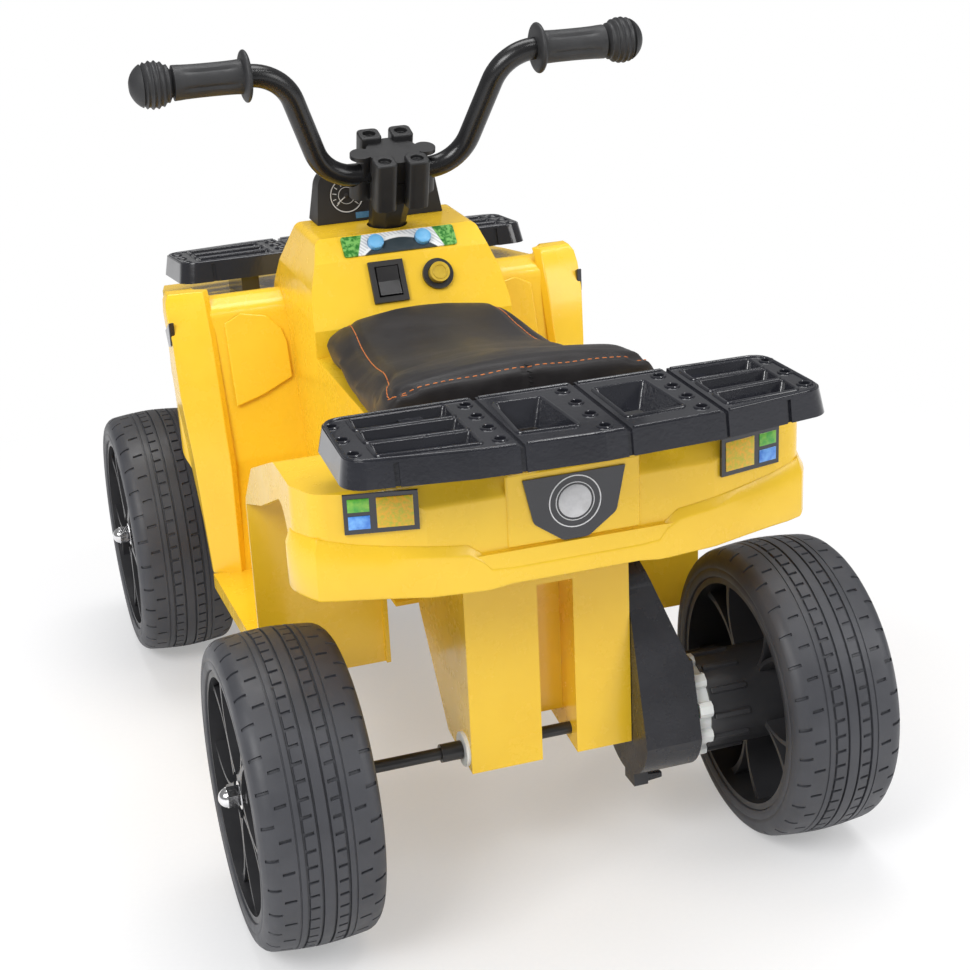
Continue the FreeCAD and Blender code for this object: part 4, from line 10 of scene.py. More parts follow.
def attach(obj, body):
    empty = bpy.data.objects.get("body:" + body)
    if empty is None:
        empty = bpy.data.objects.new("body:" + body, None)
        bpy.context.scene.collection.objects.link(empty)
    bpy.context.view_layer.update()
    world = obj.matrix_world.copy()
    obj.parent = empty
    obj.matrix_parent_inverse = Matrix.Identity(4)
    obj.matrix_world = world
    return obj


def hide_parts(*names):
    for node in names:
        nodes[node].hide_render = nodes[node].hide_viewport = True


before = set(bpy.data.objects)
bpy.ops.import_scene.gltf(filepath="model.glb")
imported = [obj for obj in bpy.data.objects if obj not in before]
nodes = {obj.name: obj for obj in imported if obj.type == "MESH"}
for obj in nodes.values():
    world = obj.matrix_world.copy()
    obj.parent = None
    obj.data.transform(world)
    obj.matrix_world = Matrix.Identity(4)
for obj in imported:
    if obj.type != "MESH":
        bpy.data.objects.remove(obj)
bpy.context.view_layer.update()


# Yellow shell: the upper body with its fenders, dash, footboards and tail, and the lower body with the axle box.
# Both are glossy polypropylene from steel moulds, with rounded edges, a faint orange peel and slow drift in colour.
# Raised strips frame the leg shields, and raised panels run along the foot of the tail.
def add(tree, kind, inputs=None, **settings):
    node = tree.nodes.new(kind)
    for key, value in settings.items():
        setattr(node, key, value)
    for socket, value in (inputs or {}).items():
        if isinstance(value, bpy.types.NodeSocket):
            tree.links.new(value, node.inputs[socket])
        else:
            node.inputs[socket].default_value = value
    return node


def effect(name, inputs, outputs):
    """An empty shader node group with its named sockets, and its two end nodes."""
    group = bpy.data.node_groups.new(name, "ShaderNodeTree")
    for side, sockets in (("INPUT", inputs), ("OUTPUT", outputs)):
        for socket, kind in sockets.items():
            group.interface.new_socket(socket, in_out=side, socket_type="NodeSocket" + kind)
    return group, add(group, "NodeGroupInput").outputs, add(group, "NodeGroupOutput").inputs


def mixed(tree, factor, first, second):
    """A colour between two. A mix node's sockets 6 and 7 take the colours, and its output 2 gives one."""
    return add(tree, "ShaderNodeMix", {0: factor, 6: first, 7: second}, data_type="RGBA").outputs[2]


def spread(tree, value, low, high, to_low=0.0, to_high=1.0):
    return add(tree, "ShaderNodeMapRange", {"Value": value, "From Min": low, "From Max": high,
                                            "To Min": to_low, "To Max": to_high}).outputs["Result"]


moulded_skin, given, put = effect(
    "moulded skin",
    {"Colour": "Color", "Shade": "Color", "Drift Scale": "Float", "Peel Scale": "Float",
     "Low Roughness": "Float", "High Roughness": "Float"},
    {"Colour": "Color", "Roughness": "Float", "Height": "Float"})
spot = add(moulded_skin, "ShaderNodeTexCoord").outputs["Object"]
drift = add(moulded_skin, "ShaderNodeTexNoise",
            {"Vector": spot, "Scale": given["Drift Scale"], "Detail": 5.0, "Roughness": 0.6}).outputs["Fac"]
peel = add(moulded_skin, "ShaderNodeTexNoise",
           {"Vector": spot, "Scale": given["Peel Scale"], "Detail": 2.0, "Roughness": 0.5}).outputs["Fac"]
handled = add(moulded_skin, "ShaderNodeTexNoise",
              {"Vector": spot, "Scale": 37.0, "Detail": 6.0, "Roughness": 0.65}).outputs["Fac"]
moulded_skin.links.new(mixed(moulded_skin, spread(moulded_skin, drift, 0.35, 0.7), given["Colour"], given["Shade"]),
                       put["Colour"])
moulded_skin.links.new(spread(moulded_skin, handled, 0.35, 0.72, given["Low Roughness"], given["High Roughness"]),
                       put["Roughness"])
moulded_skin.links.new(peel, put["Height"])


def surface(name):
    """A new material, its node tree and its shader."""
    material = bpy.data.materials.new(name)
    material.use_nodes = True
    return material, material.node_tree, material.node_tree.nodes["Principled BSDF"]


def covered(name, skin, inputs, relief, depth):
    """A material whose colour, roughness and relief come from a skin's node group, and its shader."""
    material, tree, shader = surface(name)
    layer = add(tree, "ShaderNodeGroup", inputs, node_tree=skin)
    bump = add(tree, "ShaderNodeBump", {"Height": layer.outputs["Height"], "Strength": relief, "Distance": depth})
    tree.links.new(layer.outputs["Colour"], shader.inputs["Base Color"])
    tree.links.new(layer.outputs["Roughness"], shader.inputs["Roughness"])
    tree.links.new(bump.outputs["Normal"], shader.inputs["Normal"])
    return material, shader


def moulded(name, colour, shade, low, high, drift=14.0, peel=420.0, relief=0.12, depth=0.0006, **sockets):
    """A plastic between two colours and two roughnesses, with more of the shader's sockets by name."""
    material, shader = covered(name, moulded_skin, {
        "Colour": (*colour, 1), "Shade": (*shade, 1), "Drift Scale": drift, "Peel Scale": peel,
        "Low Roughness": low, "High Roughness": high}, relief, depth)
    for socket, value in sockets.items():
        shader.inputs[socket.replace("_", " ")].default_value = value
    return material


def dress(material, *names):
    for name in names:
        mesh = nodes[name].data
        mesh.materials.clear()
        mesh.materials.append(material)


def rounded(width, *pieces):
    for piece in pieces:
        edges = piece.modifiers.new("moulded edges", "BEVEL")
        edges.width = width
        edges.segments = 2
        edges.limit_method = "ANGLE"
        edges.angle_limit = math.radians(28)
        edges.harden_normals = True


def linked(name, data, matrix=Matrix.Identity(4)):
    piece = bpy.data.objects.new(name, data)
    bpy.context.scene.collection.objects.link(piece)
    piece.matrix_world = matrix
    return piece


def lofted(name, solids, material, place=Matrix.Identity(4), closed=False):
    """One piece of closed solids, each run through rings of points in millimetres and capped at its ends,
    or run round into itself."""
    points, faces = [], []
    for rings in solids:
        base, rows, count = len(points), len(rings), len(rings[0])
        points += [place @ (Vector(p) / 1000) for ring in rings for p in ring]
        for row in range(rows if closed else rows - 1):
            here, after = base + row * count, base + (row + 1) % rows * count
            faces += [(here + i, here + (i + 1) % count, after + (i + 1) % count, after + i) for i in range(count)]
        if not closed:
            faces += [tuple(range(base, base + count)), tuple(range(base + (rows - 1) * count, base + rows * count))]
    mesh = bpy.data.meshes.new(name)
    mesh.from_pydata(points, [], faces)
    shape = bmesh.new()
    shape.from_mesh(mesh)
    bmesh.ops.recalc_face_normals(shape, faces=shape.faces)
    shape.to_mesh(mesh)
    shape.free()
    mesh.shade_smooth()
    mesh.set_sharp_from_angle(angle=math.radians(30))
    mesh.materials.append(material)
    return linked(name, mesh)


def fitted(piece, body, edge=0.0):
    if edge:
        rounded(edge, piece)
    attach(piece, body)
    return piece


def mirrored(solid):
    return [[(-x, y, z) for x, y, z in ring] for ring in solid]


shell_yellow = moulded("shell yellow", (0.93, 0.6, 0.03), (0.88, 0.54, 0.02), 0.2, 0.34,
                       drift=9.0, peel=300.0, relief=0.14, Coat_Weight=0.15, Coat_Roughness=0.12)
dress(shell_yellow, "main_body", "chassis_pan")
rounded(0.0016, nodes["main_body"], nodes["chassis_pan"])

# Levels up the leg shield: height, the shield's face, the strip's outer side and corner, and the fender's face.
shield_levels = [
    (111, 86, 156, 92, 98), (150, 86, 158, 97, 104), (200, 86, 160, 106, 134), (250, 104, 164, 113, 142),
    (292, 119, 165, 117, 142), (310, 128, 166, 127, 143), (319, 133, 165, 132, 146), (324, 138, 162, 137, 149)]
strip_inside, strip_edge, strip_back, strip_rise = 131, 136, 141, 4
strip = [[(strip_inside, face + 1, z), (strip_edge, face - strip_rise, z), (out, corner, z), (out, back, z),
          (strip_back, face + 6, z)] for z, face, out, corner, back in shield_levels]
# A lip carries each strip on over the fender and runs out in its top: place along, foot, top and both sides.
lip_places = [(138, 310, 323.6, 138, 163), (149, 311, 323.6, 138, 162), (158, 306, 319, 138, 160),
              (170, 301, 310, 139, 158.6), (186, 300, 301.6, 141, 157.6)]
lip = [[(inner, y, foot), (inner + 3, y, top), (outer - 2, y, top), (outer, y, foot)]
       for y, foot, top, inner, outer in lip_places]
fitted(lofted("shield_edges", [strip, mirrored(strip), lip, mirrored(lip)], shell_yellow),
       "frame", edge=0.003)
shield_y, shield_z, shield_lean = 86, 200, 40 / 110
knee_outline = [(124, 240), (124, 300), (111, 306), (91, 302), (81, 292), (78, 282), (78, 256), (102, 246)]
knee = [[(x, shield_y + (z - shield_z) * shield_lean - rise, z + rise * shield_lean) for x, z in knee_outline]
        for rise in (-1, 1.2)]
fitted(lofted("knee_panels", [knee, mirrored(knee)], shell_yellow), "frame", edge=0.0014)
# Places round the tail: the apron's face, the way out of it and how far the belly stands out there, its foot and
# line, and half the line's slope.
belly_places = [
    ((161, -251), (1, 0), 3.5, 246, 279, 4), ((161, -258), (1, -0.12), 3.7, 246, 279, 4),
    ((157.4, -266.4), (0.92, -0.39), 4.6, 246, 279.5, 4), ((154, -274.3), (0.85, -0.53), 4.4, 246, 280, 4),
    ((152, -279), (0.62, -0.78), 3.6, 246, 280, 4), ((143, -280.9), (0.25, -0.97), 4.4, 245.6, 278, 4),
    ((130, -283.6), (0.2, -1), 3.8, 245, 275, 4), ((113, -287.2), (0.2, -1), 3.5, 244, 273, 3.5),
    ((90, -292), (0.1, -1), 3.5, 242.5, 271, 3), ((66, -292), (0, -1), 3.5, 241, 267.5, 3),
    ((58, -292), (0, -1), 3.5, 240.5, 262, 2.5), ((53, -292), (0, -1), 3.5, 240.5, 255, 1.5),
    ((40, -292), (0, -1), 3.5, 242, 254, 1.5)]
belly_places += [((-x, y), (-u, v), *sizes) for (x, y), (u, v), *sizes in reversed(belly_places)]
sunk = -3
belly = []
for (x, y), (u, v), full, foot, line, slope in belly_places:
    belly.append([(x + u * out, y + v * out, z) for out, z in (
        (sunk, foot), (full - 1.1, foot - 0.4), (full, foot + 2), (full, line - slope), (0.3, line + slope),
        (sunk, line + slope))])
crease_foot, crease_top = 264, 309
crease = [[(-half, y, crease_foot), (half, y, crease_foot), (half, y, crease_top), (-half, y, crease_top)]
          for y, half in ((-291, 42.5), (-293.2, 41))]
fitted(lofted("apron_panels", [belly, crease], shell_yellow), "frame", edge=0.001)


# Wheels: blow-moulded black tyres over injection-moulded rims with five pairs of leaf spokes.
# The tread has a plain centre band, two notched rows beside it and staggered slots to the shoulders.
# A plated cap nut holds each wheel on its axle.
tyre_black = moulded("tyre black", (0.043, 0.0445, 0.052), (0.06, 0.062, 0.071), 0.4, 0.58,
                     drift=22.0, peel=900.0, relief=0.2, depth=0.0003)
rim_black = moulded("rim black", (0.028, 0.028, 0.0305), (0.038, 0.038, 0.041), 0.3, 0.46,
                    drift=18.0, peel=700.0, relief=0.12, depth=0.0003)
wheel_x, wheel_y, wheel_z = 0.171, 0.227, 0.1
pitches = 60
groove, fine_groove = 0.0015, 0.000675
stagger, stagger_run, sweep = 0.25, 2.2, 0.012
# Each pitch's columns, of which the third and fourth lie on the floor of a cut.
columns, cut_floor = (0.0, 0.395, 0.425, 0.575, 0.605), (2, 3)
# Half of the tread's section from the centre to the bead: place across, radius, and what is cut there.
tread_rows = [
    (0.0, 100.0, ""), (3.1, 100.0, ""), (3.4, 99.95, "line"), (4.4, 99.9, "line"), (4.7, 99.9, ""),
    (6.0, 99.85, ""), (6.4, 99.8, "notch"), (11.6, 99.5, "notch"), (12.0, 99.5, "line"), (13.1, 99.4, "line"),
    (13.4, 99.4, ""), (16.4, 99.1, ""), (16.7, 99.1, "fine"), (17.3, 99.05, "fine"), (17.6, 99.0, ""),
    (19.4, 98.8, ""), (19.8, 98.8, "inner"), (26.4, 98.0, "inner"), (26.8, 97.95, ""), (28.0, 97.8, ""),
    (28.4, 97.75, "outer"), (30.5, 97.3, "outer"), (33.0, 96.1, "outer"), (35.2, 94.0, "outer"), (35.5, 93.6, ""),
    (36.6, 91.8, ""), (37.3, 89.6, ""), (37.5, 87.6, ""), (37.45, 86.6, ""), (37.0, 86.0, ""), (36.9, 85.2, ""),
    (37.3, 84.6, ""), (37.45, 83.6, ""), (37.3, 81.0, ""), (36.6, 79.6, ""), (35.0, 79.15, ""), (28.0, 79.1, "")]


def tread_mesh():
    mesh = bpy.data.meshes.new("tread")
    rows = [(-x, r, cut) for x, r, cut in reversed(tread_rows[1:])] + tread_rows
    points, faces = [], []
    across = len(columns) * pitches
    for x, r, cut in rows:
        for step in range(across):
            pitch, part = divmod(step, len(columns))
            depth = 0.0
            if cut == "line":
                depth = groove
            elif cut == "fine":
                depth = fine_groove
            elif part in cut_floor and (cut == "notch" or (cut == "inner" and pitch % 2 == 0)
                                        or (cut == "outer" and pitch % 2)):
                depth = groove
            angle = 2 * math.pi * (pitch + columns[part] + stagger * math.tanh(x / stagger_run) + sweep * x) / pitches
            radius = r / 1000 - depth
            points.append((x / 1000, radius * math.sin(angle), radius * math.cos(angle)))
    for row in range(len(rows)):
        here, beyond = row * across, (row + 1) % len(rows) * across
        for step in range(across):
            after = (step + 1) % across
            faces.append((here + step, here + after, beyond + after, beyond + step))
    mesh.from_pydata(points, [], faces)
    mesh.update()
    mesh.shade_smooth()
    mesh.set_sharp_from_angle(angle=math.radians(38))
    mesh.materials.append(tyre_black)
    return mesh


tread = tread_mesh()
for end, along in (("front", 1), ("rear", -1)):
    for side, way in (("left", -1), ("right", 1)):
        turned = Matrix.Rotation(0 if way > 0 else math.pi, 4, "Z")
        tyre = linked(f"{end}_{side}_tread", tread,
                      Matrix.Translation((way * wheel_x, along * wheel_y, wheel_z)) @ turned)
        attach(tyre, f"{end}_{side}_wheel")
        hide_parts(f"{end}_{side}_tyre")
        dress(rim_black, f"{end}_{side}_rim")
        rounded(0.0008, nodes[f"{end}_{side}_rim"])
# The undriven rear rim has the short hub of the front ones.
short_rim = linked("rear_left_disc", nodes["front_left_rim"].data.copy())
short_rim.data.transform(Matrix.Translation((0, -2 * wheel_y, 0)))
fitted(short_rim, "rear_left_wheel", edge=0.0008)
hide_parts("rear_left_rim")

plated_skin, given, put = effect("plated skin", {"Colour": "Color", "Stain": "Color", "Grain Scale": "Float"},
                                 {"Colour": "Color", "Roughness": "Float", "Height": "Float"})
spot = add(plated_skin, "ShaderNodeTexCoord").outputs["Object"]
grain = add(plated_skin, "ShaderNodeTexNoise",
            {"Vector": spot, "Scale": given["Grain Scale"], "Detail": 8.0, "Roughness": 0.7}).outputs["Fac"]
cloud = add(plated_skin, "ShaderNodeTexNoise", {"Vector": spot, "Scale": 120.0, "Detail": 3.0}).outputs["Fac"]
plated_skin.links.new(mixed(plated_skin, spread(plated_skin, cloud, 0.45, 0.75), given["Colour"], given["Stain"]),
                      put["Colour"])
plated_skin.links.new(spread(plated_skin, grain, 0.3, 0.75, 0.08, 0.3), put["Roughness"])
plated_skin.links.new(grain, put["Height"])


def plated(name, colour, stain, grain=900.0, relief=0.05):
    """A bright metal with stains and a fine grain."""
    material, shader = covered(name, plated_skin, {
        "Colour": (*colour, 1), "Stain": (*stain, 1), "Grain Scale": grain}, relief, 0.0002)
    shader.inputs["Metallic"].default_value = 1.0
    return material


nut_plate = plated("nut plate", (0.86, 0.86, 0.87), (0.74, 0.74, 0.76))
zinc_plate = plated("zinc plate", (0.62, 0.63, 0.64), (0.5, 0.5, 0.5), grain=600.0, relief=0.12)
dress(nut_plate, "rear_cap_nuts", "front_left_cap_nut", "front_right_cap_nut")


# Running gear: a blackened steel rear axle in white nylon bushes, and a painted front beam with its steel pins.
# The knuckles, tie rod and column turn the front wheels.
axle_black = moulded("axle black", (0.016, 0.016, 0.017), (0.024, 0.023, 0.022), 0.28, 0.42,
                     drift=30.0, peel=1200.0, relief=0.1, depth=0.0002)
nylon_white = moulded("nylon white", (0.84, 0.84, 0.82), (0.76, 0.76, 0.73), 0.36, 0.5, drift=40.0, peel=800.0,
                      relief=0.1, depth=0.0003, Subsurface_Weight=0.08)
dress(axle_black, "rear_axle", "left_knuckle", "right_knuckle", "front_axle_beam")
dress(nylon_white, "rear_axle_bushes", "column_bush")
dress(zinc_plate, "kingpins", "tie_rod", "steering_column", "body_screws")


# Drive: a split black gear case on the right of the axle box, three pairs of nylon gears and a small can motor.
# A white lobed ring on the last gear turns the right rear wheel.
case_black = moulded("case black", (0.019, 0.0195, 0.0235), (0.029, 0.0297, 0.035), 0.2, 0.36,
                     drift=25.0, peel=500.0, relief=0.14)
gear_cream = moulded("gear cream", (0.78, 0.76, 0.68), (0.7, 0.68, 0.6), 0.34, 0.5, drift=40.0, peel=900.0)
dress(case_black, "gearbox_inner_half", "gearbox_outer_half")
dress(gear_cream, "output_gear", "second_gear", "first_gear")
dress(nylon_white, "drive_ring")
dress(zinc_plate, "drive_motor", "motor_pinion")
rounded(0.0012, nodes["gearbox_inner_half"], nodes["gearbox_outer_half"])
rounded(0.0006, nodes["drive_ring"])
# Ribs along the wheel's drive barrel, by their radii and half widths.
rib_section = [(31, -2.4), (34.2, -1.6), (34.2, 1.6), (31, 2.4)]
rib_count, rib_turn = 12, 8
drive_ends = (106, 131)
ribs = []
for i in range(rib_count):
    turn = math.radians(360 / rib_count * i + rib_turn)
    out, aside = Vector((0, math.sin(turn), math.cos(turn))), Vector((0, math.cos(turn), -math.sin(turn)))
    ribs.append([[Vector((x, -wheel_y * 1000, wheel_z * 1000)) + out * r + aside * half for r, half in rib_section]
                 for x in drive_ends])
fitted(lofted("barrel_ribs", ribs, rim_black), "rear_right_wheel", edge=0.0006)
# Two prongs under the case.
lug_section = [(68, 51), (68, 57), (79, 56), (79, 52)]
prongs = [[[(x, y, z) for x, z in lug_section] for y in ends] for ends in ((-234, -230), (-224, -220))]
fitted(lofted("case_lug", prongs, case_black), "frame", edge=0.0008)


# Handlebar: a bent steel tube in black powder coat, held in a plastic clamp whose four towers hide the screws.
# The grips are soft black rubber, fluted along the barrel, with a rounded flange inside and a ribbed ball outside.
# An eight-sided sleeve covers the column down to the dash.
bar_black = moulded("bar black", (0.01, 0.01, 0.011), (0.016, 0.016, 0.017), 0.2, 0.32,
                    drift=30.0, peel=1500.0, relief=0.22, depth=0.0002)
clamp_black = moulded("clamp black", (0.014, 0.014, 0.015), (0.021, 0.021, 0.022), 0.38, 0.54,
                      drift=40.0, peel=1100.0, relief=0.18, depth=0.0003)
grip_black = moulded("grip black", (0.024, 0.0245, 0.0262), (0.034, 0.0346, 0.037), 0.45, 0.62,
                     drift=60.0, peel=1800.0, relief=0.3, depth=0.0002)
dress(bar_black, "handlebar", "clamp_screws")
dress(clamp_black, "clamp_base", "clamp_cap")
rounded(0.0008, nodes["clamp_base"], nodes["clamp_cap"])
head = Matrix.Translation((0, 0.065, 0.414))
bar_face = head @ Matrix.Rotation(math.radians(17), 4, "X")
# The grip in millimetres: its rows along the bar, then its flange, its fluted barrel and its ribbed ball.
grip_start, grip_step, grip_rows, grip_sides, bar_lift = 104, 0.5, 165, 72, 86
flange_middle, flange_half, flange_root, flange_rise = 106.7, 2.8, 12, 6
barrel_start, barrel_middle, barrel_half, barrel_end = 109.5, 130, 27, 157
barrel_radius, barrel_flare, flutes, flute_depth, flute_middle, flute_half = 11.6, 0.5, 6, 1.3, 132, 20
ball_middle, ball_half, ball_radius = 170.2, 16.4, 16.6
rib_start, rib_pitch, rib_depth, rib_end = 158, 3.9, 1.5, 178


def grip_radius(x, turn):
    """The grip's radius at a place along the bar and round it."""
    if x < barrel_start:
        return flange_root + flange_rise * math.sqrt(max(0.0, 1 - ((x - flange_middle) / flange_half) ** 2))
    if x < barrel_end:
        fade = max(0.0, 1 - ((x - flute_middle) / flute_half) ** 4)
        flute = flute_depth * max(0.0, math.cos(turn * flutes)) ** 3
        return barrel_radius + barrel_flare * ((x - barrel_middle) / barrel_half) ** 2 - flute * fade
    ball = math.sqrt(max(0.04, 1 - ((x - ball_middle) / ball_half) ** 2)) * ball_radius
    rib = 0.5 + 0.5 * math.cos((x - rib_start) / rib_pitch * 2 * math.pi)
    return ball - (rib_depth * rib ** 0.6 if x < rib_end else 0)


for side, way in (("left", -1), ("right", 1)):
    rings = []
    for i in range(grip_rows):
        x = grip_start + i * grip_step
        rings.append([])
        for turn in (2 * math.pi * k / grip_sides for k in range(grip_sides)):
            radius = grip_radius(x, turn)
            rings[-1].append((way * x, radius * math.cos(turn), bar_lift + radius * math.sin(turn)))
    grip = fitted(lofted(f"{side}_grip_rubber", [rings], grip_black, bar_face), "steering")
    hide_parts(f"{side}_grip")


def squared(x, y, half, z):
    """A ring of a square with soft corners."""
    ring = []
    for turn in (math.pi * i / 16 for i in range(32)):
        reach = half / (abs(math.cos(turn)) ** 5 + abs(math.sin(turn)) ** 5) ** 0.2
        ring.append((x + reach * math.cos(turn), y + reach * math.sin(turn), z))
    return ring


def turned_rings(outline, x=0.0, y=0.0, steps=40):
    """Rings of a turned shape about an upright line, from its radii and heights."""
    return [[(x + r * math.cos(2 * math.pi * i / steps), y + r * math.sin(2 * math.pi * i / steps), z)
             for i in range(steps)] for r, z in outline]


tower_foot, screw_seat = -17, 17.8
towers = []
for x in (-12, 12):
    for y, top in ((-20.8, 20.5), (20.8, 21.5)):
        towers.append([squared(x, y, 8.0, tower_foot), squared(x, y, 8.2, top - 1), squared(x, y, 7.4, top),
                       *turned_rings([(4.6, top), (4.4, screw_seat)], x, y, 32)])
fitted(lofted("clamp_towers", towers, clamp_black, bar_face), "steering", edge=0.0006)
rake_cosine = 0.87556
column_face = head @ Matrix.Rotation(math.acos(rake_cosine), 4, "X")
sleeve = [[(r * math.sin(math.pi * (i + 0.5) / 4), r * math.cos(math.pi * (i + 0.5) / 4), z) for i in range(8)]
          for r, z in ((16.5, -13), (16.5, -20), (14.4, -40), (13.6, -62))]
fitted(lofted("column_sleeve", [sleeve], clamp_black, column_face), "steering", edge=0.0008)


# Seat: foam under coated cloth, with a flat top panel sewn to drawn-in sides and a deep boxing at the back.
# Orange thread shows along both sides and across the back, and one black seam runs down the boxing.
# The cover is pulled over a plastic pan.
seat_mesh = nodes["seat_cushion"].data.copy()
seat_mesh.name = "seat_cover"
seat_mesh.materials.clear()
seat = linked("seat_cover", seat_mesh)
# The cover's lower edge hangs to the saddle, which steps up behind.
low_edge, rear_start, rear_edge, hang = 0.2975, -0.15, 0.3155, 0.004
for vertex in seat_mesh.vertices:
    if vertex.co.z < low_edge or (vertex.co.y < rear_start and vertex.co.z < rear_edge):
        vertex.co.z -= hang
bpy.context.view_layer.objects.active = seat
seat.select_set(True)
seat_mesh.remesh_voxel_size = 0.0045
bpy.ops.object.voxel_remesh()
# Places along the cushion in millimetres: how far the skirt flares, and how far the foam sits down under the cover
# at the middle and at the side seams. The rear end is spread, and the dash stands in front.
cover_places = [(40, 4, 0, 0), (-8, 7, 0, 0), (-67, 8, 0, 0), (-105, 6, 1, 3), (-134, 4, 4, 9), (-160, 2, 6, 11),
                (-190, 0, 5, 7), (-205, 0, 2, 3.5), (-220, 0, -1, 1)]
rear_spread, seam_half, nose_reach = 7, 76, 6
dash_foot, dash_height, dash_lean, dash_room = 28, 312, 0.558, 0.4


def share(value, low, high):
    return min(1.0, max(0.0, (value - low) / (high - low)))


for vertex in seat.data.vertices:
    x, y, z = vertex.co * 1000
    for (front, *first), (rear, *second) in zip(cover_places, cover_places[1:]):
        if rear <= y <= front:
            flare, middle, side = (a + (b - a) * (front - y) / (front - rear) for a, b in zip(first, second))
            wider = flare * share(z, 318, 306) + rear_spread * share(y, -140, -185)
            vertex.co.x += math.copysign(wider * share(abs(x), 30, 62), x) / 1000
            vertex.co.z -= share(z, 316, 330) * (middle + (side - middle) * (x / seam_half) ** 2) / 1000
            vertex.co.y += nose_reach * share(y, -10, 26) ** 2 * share(z, 300, 315) / 1000
            break


def swell(piece, pressure, cap):
    """Blows a closed cover up a little under its own cloth, and keeps each point within the cap."""
    start = [v.co.copy() for v in piece.data.vertices]
    cloth = piece.modifiers.new("cover", "CLOTH")
    cloth.settings.use_pressure = True
    cloth.settings.uniform_pressure_force = pressure
    cloth.settings.effector_weights.gravity = 0
    cloth.settings.quality = 6
    for step in range(1, 21):
        bpy.context.scene.frame_set(step)
    seen = piece.evaluated_get(bpy.context.evaluated_depsgraph_get())
    blown = [v.co.copy() for v in seen.data.vertices]
    piece.modifiers.remove(cloth)
    bpy.context.scene.frame_set(1)
    for vertex, old, new in zip(piece.data.vertices, start, blown):
        move = new - old
        if move.length > cap:
            move *= cap / move.length
        vertex.co = old + move
    ease = piece.modifiers.new("ease", "SMOOTH")
    ease.factor = 0.5
    ease.iterations = 6
    finer = piece.modifiers.new("finer", "SUBSURF")
    finer.levels = finer.render_levels = 1
    for modifier in ("ease", "finer"):
        bpy.ops.object.modifier_apply(modifier=modifier)
    piece.data.update()


swell(seat, pressure=4.0, cap=0.004)
# The nose is pressed against the dash.
for vertex in seat.data.vertices:
    reach = dash_foot - dash_room + max(0.0, vertex.co.z * 1000 - dash_height) * dash_lean
    vertex.co.y = min(vertex.co.y, reach / 1000)
# The seam across the back holds the edge of the boxing up square.
edge_lift, edge_back = 0.0035, 0.002
for vertex in seat.data.vertices:
    x, y, z = vertex.co * 1000
    edge = share(y, -196, -212) * share(z, 328, 340) * (1 - share(abs(x), 62, 98) ** 2)
    vertex.co.z += edge_lift * edge
    vertex.co.y -= edge_back * edge


def traced(piece, points, toward, gap):
    """Points a gap apart along a smooth line through the given points, let down on a piece along a direction."""
    line = bpy.data.curves.new("trace", "CURVE")
    line.dimensions = "3D"
    run = line.splines.new("NURBS")
    run.points.add(len(points) - 1)
    for place, point in zip(run.points, points):
        place.co = (*(Vector(point) / 1000), 1)
    run.order_u = 3
    run.use_endpoint_u = True
    run.resolution_u = 24
    holder = bpy.data.objects.new("trace", line)
    drawn = [v.co.copy() for v in bpy.data.meshes.new_from_object(holder).vertices]
    bpy.data.objects.remove(holder)
    skin = BVHTree.FromPolygons([v.co for v in piece.data.vertices], [p.vertices for p in piece.data.polygons])
    toward = Vector(toward).normalized()
    spots, left = [], 0.0
    for start, end in zip(drawn, drawn[1:]):
        length = (end - start).length
        while left <= length:
            hit, normal, _, _ = skin.ray_cast(start.lerp(end, left / length) - toward * 0.2, toward)
            if hit:
                spots.append((hit, normal))
            left += gap
        left -= length
    return spots


def sewn(piece, spots, reach, depth):
    """Draws a piece in along a seam."""
    near = KDTree(len(spots))
    for i, (spot, _) in enumerate(spots):
        near.insert(spot, i)
    near.balance()
    normals = [v.normal.copy() for v in piece.data.vertices]
    for vertex, normal in zip(piece.data.vertices, normals):
        _, _, away = near.find(vertex.co)
        if away < reach:
            vertex.co -= normal * depth * (1 - (away / reach) ** 2) ** 2
    piece.data.update()


# A stitch's rings: place along it, and its lift and thickness in radii.
stitch_rings = [(-0.5, -1.2, 0.6), (-0.36, 0.1, 1), (0, 0.5, 1), (0.36, 0.1, 1), (0.5, -1.2, 0.6)]


def stitched(name, seams, material, length, sink, radius, slant=0.0):
    """Short threads along seams, with both ends of each pulled into the cover."""
    solids = []
    for spots in seams:
        for (here, normal), (after, _) in zip(spots, spots[1:]):
            along = (after - here).normalized()
            aside = normal.cross(along).normalized()
            rings = []
            for place, lift, thick in stitch_rings:
                middle = here + along * place * length + aside * place * slant + normal * (lift * radius - sink)
                rings.append([(middle + (aside * math.cos(turn) + normal * math.sin(turn)) * radius * thick) * 1000
                              for turn in (math.pi * i / 3 for i in range(6))])
            solids.append(rings)
    return lofted(name, solids, material)


# The seams in millimetres, and the ways they are let down on the cover.
side_line = [(52, 31, 330), (54, 5, 330), (57, -30, 330), (60, -75, 330), (64, -125, 330), (69, -150, 330),
             (78, -178, 340), (84, -198, 340), (83, -209, 345), (72, -213, 345)]
left_line = [(-x, y, z) for x, y, z in side_line]
back_line = [(-76, -212, 345), (-55, -214, 350), (-26, -215, 350), (26, -215, 350), (55, -214, 350), (76, -212, 345)]
boxing_line = [(2, -240, 346), (4, -240, 322)]
down, inward, forward = (0, 0, -1), (0, 0.5, -1), (0, 1, 0)
seam_gap = 0.001
joins = [traced(seat, line, way, seam_gap) for line, way in (
    (side_line, down), (left_line, down), (back_line, inward), (boxing_line, forward))]
for join in joins:
    sewn(seat, join, reach=0.006, depth=0.0016)
leatherette, tree, shader = surface("seat leatherette")
spot = add(tree, "ShaderNodeTexCoord").outputs["Object"]
pebble = add(tree, "ShaderNodeTexVoronoi", {"Vector": spot, "Scale": 900.0, "Randomness": 0.9},
             feature="DISTANCE_TO_EDGE").outputs["Distance"]
